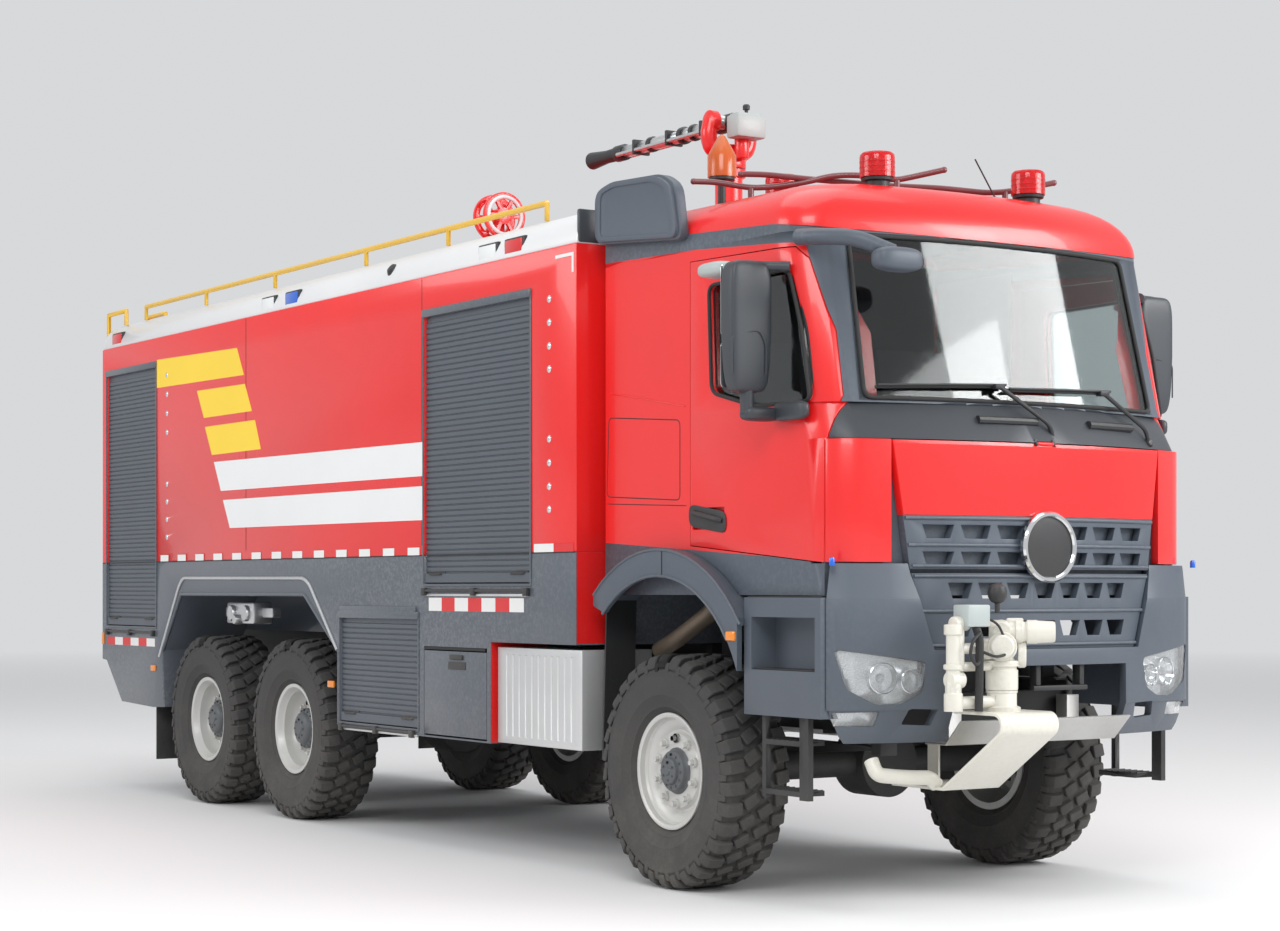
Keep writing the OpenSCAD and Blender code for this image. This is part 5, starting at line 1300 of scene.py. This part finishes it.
piece(tubes, "roof_tubes", "root", TUBE_RED, ["light_bar"], 40)
piece([wire([at(0.175, -0.93, 3.50), at(0.009, -0.95, 3.70)], 0.004, sides=2),
       lathe([(0, 0), (0.022, 0), (0.020, 0.02), (0.008, 0.034), (0, 0.036)], at(0.175, -0.92, 3.495),
             (-0.3, 0, 1), 20)], "roof_antenna", "root", BLACK_PLASTIC)
for node, edge in (("roof_rails", 0), ("cornices", 0.006), ("hose_reel", 0.003)):
    dressed(node, edge)
REEL_X, REEL_Z, REEL_R = -0.86, 3.76, 0.112
round_reel = [a * math.pi / 16 for a in range(32)]
hoops = [wire([at(REEL_X + REEL_R * math.cos(a), y, REEL_Z + REEL_R * math.sin(a)) for a in round_reel],
              0.011, closed=True) for y in (2.298, 2.442)]
piece(hoops, "hose_reel_bands", "root", STRIPE)

# Lamps in the cornices, each a coloured face in a black housing
housings = []
faces = {LAMP_WHITE: [], LAMP_BLUE: [], LAMP_RED: []}
for y, colour in ((1.80, LAMP_WHITE), (1.50, LAMP_RED), (4.81, LAMP_WHITE), (4.43, LAMP_BLUE),
                  (7.60, LAMP_RED)):
    housings.append(block(at(-1.262, y - 0.115, 3.400), at(-1.16, y + 0.115, 3.505), 0.014))
    faces[colour].append(block(at(-1.268, y - 0.095, 3.414), at(-1.258, y + 0.095, 3.492), 0.004))
housings.append(lathe([(0, 0.05), (0.030, 0.045), (0.045, 0.025), (0.050, 0), (0.050, -0.02), (0, -0.02)],
                      at(-1.215, 3.03, 3.475), (-0.8, 0, 0.6), 28))
piece(both_sides(housings), "cornice_lamp_housings", "root", BLACK_PLASTIC)
for colour, name in ((LAMP_WHITE, "white"), (LAMP_BLUE, "blue"), (LAMP_RED, "red")):
    piece(both_sides(faces[colour]), "cornice_lamps_" + name, "root", colour)
end_cap = block(at(-1.262, 0.800, 3.395), at(-0.96, 0.828, 3.575), 0.012)
piece(both_sides([end_cap]), "cornice_end_caps", "root", DARK_GREY)

# Mirrors
FOLD = [(-1.4500, -0.893, 2.56), (-1.4500, -0.893, 2.74), (-1.30, -0.908, 2.765), (-1.262, -0.908, 2.70),
        (-1.262, -0.906, 2.56)]
for hand, flip in HANDS.items():
    door = "door_" + hand
    case = [pebble(at(-1.4545, -0.905, 2.470), at(-1.2155, -0.790, 3.098), 6.5, 48, 0.86),
            wire([at(*p) for p in FOLD], 0.004, bend=0.03),
            wire([at(-1.152, -0.95, 3.075), at(-1.24, -0.865, 3.080), at(-1.34, -0.85, 3.080)],
                 0.024, bend=0.04, sides=4),
            pebble(at(-1.36, -0.90, 2.335), at(-1.155, -0.80, 2.405), 3.5, 28),
            wire([at(-1.33, -0.85, 2.37), at(-1.335, -0.85, 2.50)], 0.035, sides=4),
            pebble(at(-1.20, -1.12, 2.335), at(-1.150, -0.86, 2.425), 4, 28)]
    piece(carried(case, flip), "mirror_case_" + hand, door, DARK_GREY, ["mirror_" + hand], 40)
    wing = pebble(at(-1.4545, -0.80, 3.035), at(-1.30, -0.56, 3.110), 3.0, 28)
    piece(carried([wing], flip), "mirror_wing_" + hand, door, MOTOR_GREY, (), 40)
    glass = [plate(turned([(-1.440, z0), (-1.440, z1), (-1.230, z1), (-1.230, z0)], 0.02),
                   AXLE_Y - 0.785, 0.003, "rear", 0.001) for z0, z1 in ((2.745, 3.085), (2.495, 2.710))]
    piece(carried(glass, flip), "mirror_glass_" + hand, door, MIRROR)

# Front and kerb mirror over the right corner of the windscreen
pod = pebble(at(-1.00, -1.475, 3.020), at(-0.735, -1.345, 3.135), 3.2, 36)
arm = wire([at(-1.125, -0.98, 3.215), at(-1.09, -1.16, 3.200), at(-1.02, -1.29, 3.185),
            at(-0.88, -1.40, 3.110)], 0.040, bend=0.10, sides=5)
piece([pod, arm], "front_mirror", "root", PLASTIC_GREY)

# Lower body, arches and steps

# How far the edges of each remaining node are rounded
EDGE_OF = {
    "body_upper": 0.005, "body_lower": 0.005, "toolbox_door_left": 0.004, "toolbox_door_right": 0.004,
    "silencer_box": 0.003, "fuel_tank": 0.02, "mudflaps": 0.002, "underrun_plate": 0.002,
    "chassis_frame": 0.002, "engine_block": 0.02, "driveline": 0.004, "front_axle": 0.004,
    "rear_axles": 0.004, "leaf_springs": 0.002, "knuckle_left": 0.003, "knuckle_right": 0.003,
    "cab_interior": 0.012}
for node, edge in EDGE_OF.items():
    dressed(node, edge, CHEQUER if node == "underrun_plate" else None)

# Steps: plastic boxes above, black ladders below, bars and treads on both
LADDER_ZONE = [(-1.4, 0.40), (-0.4, 0.40), (-0.4, 0.9195), (-1.4, 0.9195)]
low, box_part = split(copy_of("cab_steps"), [prism(LADDER_ZONE)])
rounded(box_part, 0.010, 3, 40)
piece(box_part, "cab_step_boxes", "root", PLASTIC_GREY, ["cab_steps"], 35)
piece(low, "cab_ladders", "root", BLACK, ["cab_steps"], 35)
treads = [block(at(-1.192, -1.205, 1.141), at(-1.055, -0.705, 1.147), 0.002),
          block(at(-1.195, -1.24, 1.4905), at(-0.98, -0.66, 1.496), 0.002)]
treads += [rod(at(-1.165, -1.05 + k * 0.045, z), at(-1.03, -1.05 + k * 0.045, z), 0.005, 8)
           for z in (0.565, 0.805) for k in range(7)]
piece(both_sides(treads), "step_treads", "root", BLACK)

# Locker hood, toolbox pulls and slot, red front faces of the body
hood = block(at(-SIDE - 0.013, 2.64, 1.385), at(-SIDE + 0.02, 3.665, 1.425), 0.008)
piece(both_sides([hood]), "locker_hood", "root", GREY)
for hand, flip in HANDS.items():
    pull = [block(at(-SIDE - 0.014, 2.06, 1.118), at(-SIDE + 0.004, 2.21, 1.146), 0.006),
            block(at(-SIDE - 0.004, 2.03, 1.060), at(-SIDE + 0.002, 2.24, 1.105), 0.002)]
    piece(carried(pull, flip), "toolbox_pull_" + hand, "toolbox_door_" + hand, BLACK_PLASTIC)
piece(both_sides([side_plate(oblong(1.80, 2.53, 1.172, 1.188), 0.0015)]), "toolbox_slot", "root", SEAL)
fronts = [plate(oblong(-1.272, -0.90, 0.655, 1.225), AXLE_Y + 1.74, 0.0012, "front"),
          plate(oblong(-1.270, -0.92, 1.235, 1.730), AXLE_Y + 0.81, 0.0012, "front")]
piece(both_sides(fronts), "front_faces_red", "root", RED)

# Side marker lamps on the arches, fender and rear corner
markers = [block(at(-SIDE - 0.012, y - 0.045, z - 0.022), at(-SIDE + 0.002, y + 0.045, z + 0.022), 0.006)
           for y, z in ((3.80, 0.921), (6.817, 0.941))]
markers += [block(at(-1.252, -0.625, 1.275), at(-1.20, -0.545, 1.325), 0.012),
            block(at(-SIDE - 0.010, 7.835, 1.10), at(-SIDE + 0.002, 7.875, 1.19), 0.004)]
piece(both_sides(markers), "side_marker_lamps", "root", AMBER)
cap = lathe([(0, 0.04), (0.010, 0.038), (0.014, 0.03), (0.014, 0), (0, 0)], at(-1.175, -1.31, 1.640),
            steps=16)
piece(both_sides([cap]), "washer_caps", "root", LAMP_BLUE)

# Valves in the top of the rear arch, on the right side only
valves = [block(at(-1.17, 5.26, 1.285), at(-1.02, 5.72, 1.435), 0.016),
          block(at(-1.10, 5.10, 1.33), at(-1.03, 5.90, 1.40), 0.01)]
valves += [lathe([(0, 0.03), (0.050, 0.026), (0.056, 0.014), (0.056, -0.01), (0, -0.01)], at(-1.17, y, 1.36),
                 (-1, 0, 0), 28) for y in (5.36, 5.60)]
valves.append(lathe([(0, 0.05), (0.03, 0.048), (0.036, 0.03), (0.036, 0), (0, 0)], at(-1.17, 5.48, 1.315),
                    (-1, 0, 0), 24))
piece(valves, "arch_valves", "root", STEEL)
pipe = wire([at(-0.90, 0.02, 1.475), at(-0.90, 0.07, 1.41), at(-0.90, 0.40, 1.26), at(-0.86, 0.62, 1.20)],
            0.048, bend=0.10, sides=5)
piece(pipe, "exhaust_pipe", "root", EXHAUST)

# Joint and rolled edges of the front fender
fender = []
for r in (0.912, 0.778):
    arc = [math.radians(a) for a in range(36, 138, 6)]
    fender.append(wire([at(-1.238, 0.08 - r * math.cos(a), 0.82 + r * math.sin(a)) for a in arc], 0.008))
piece(both_sides(fender), "fender_edges", "root", PLASTIC_GREY)
joint = wire([at(-1.2405, 0.03, 1.592), at(-1.2405, 0.03, 1.735)], 0.003)
piece(both_sides([joint]), "fender_joint", "root", SEAL)

# Rear lamps
for name, material, heights in (("red", LAMP_RED, (1.16, 2.30)), ("amber", AMBER, (1.06,))):
    lamps = [block(at(-1.22, 7.876, z - 0.045), at(-1.06, 7.900, z + 0.045), 0.010) for z in heights]
    piece(both_sides(lamps), "rear_lamps_" + name, "root", material)
lamp_white = block(at(-1.03, 7.876, 1.015), at(-0.93, 7.898, 1.105), 0.010)
piece(both_sides([lamp_white]), "rear_lamps_white", "root", LAMP_WHITE)

# Bracket under the lower grille, and the pipe that feeds the bumper monitor
bracket = [block(at(-0.07, -1.475, 1.035), at(0.285, -1.440, 1.060), 0.006)]
bracket += [block(at(x, -1.47, 1.06), at(x + 0.03, -1.42, 1.18), 0.005) for x in (-0.05, 0.235)]
piece(bracket, "plate_bracket", "root", BLACK)
SUPPLY = [(-0.934, -1.30, 0.72), (-0.934, -1.34, 0.655), (-0.80, -1.38, 0.640), (-0.66, -1.40, 0.635),
          (-0.62, -1.40, 0.60)]
supply = wire([at(*p) for p in SUPPLY], 0.036, bend=0.07, sides=5)
piece(supply, "monitor_supply_pipe", "root", CREAM)
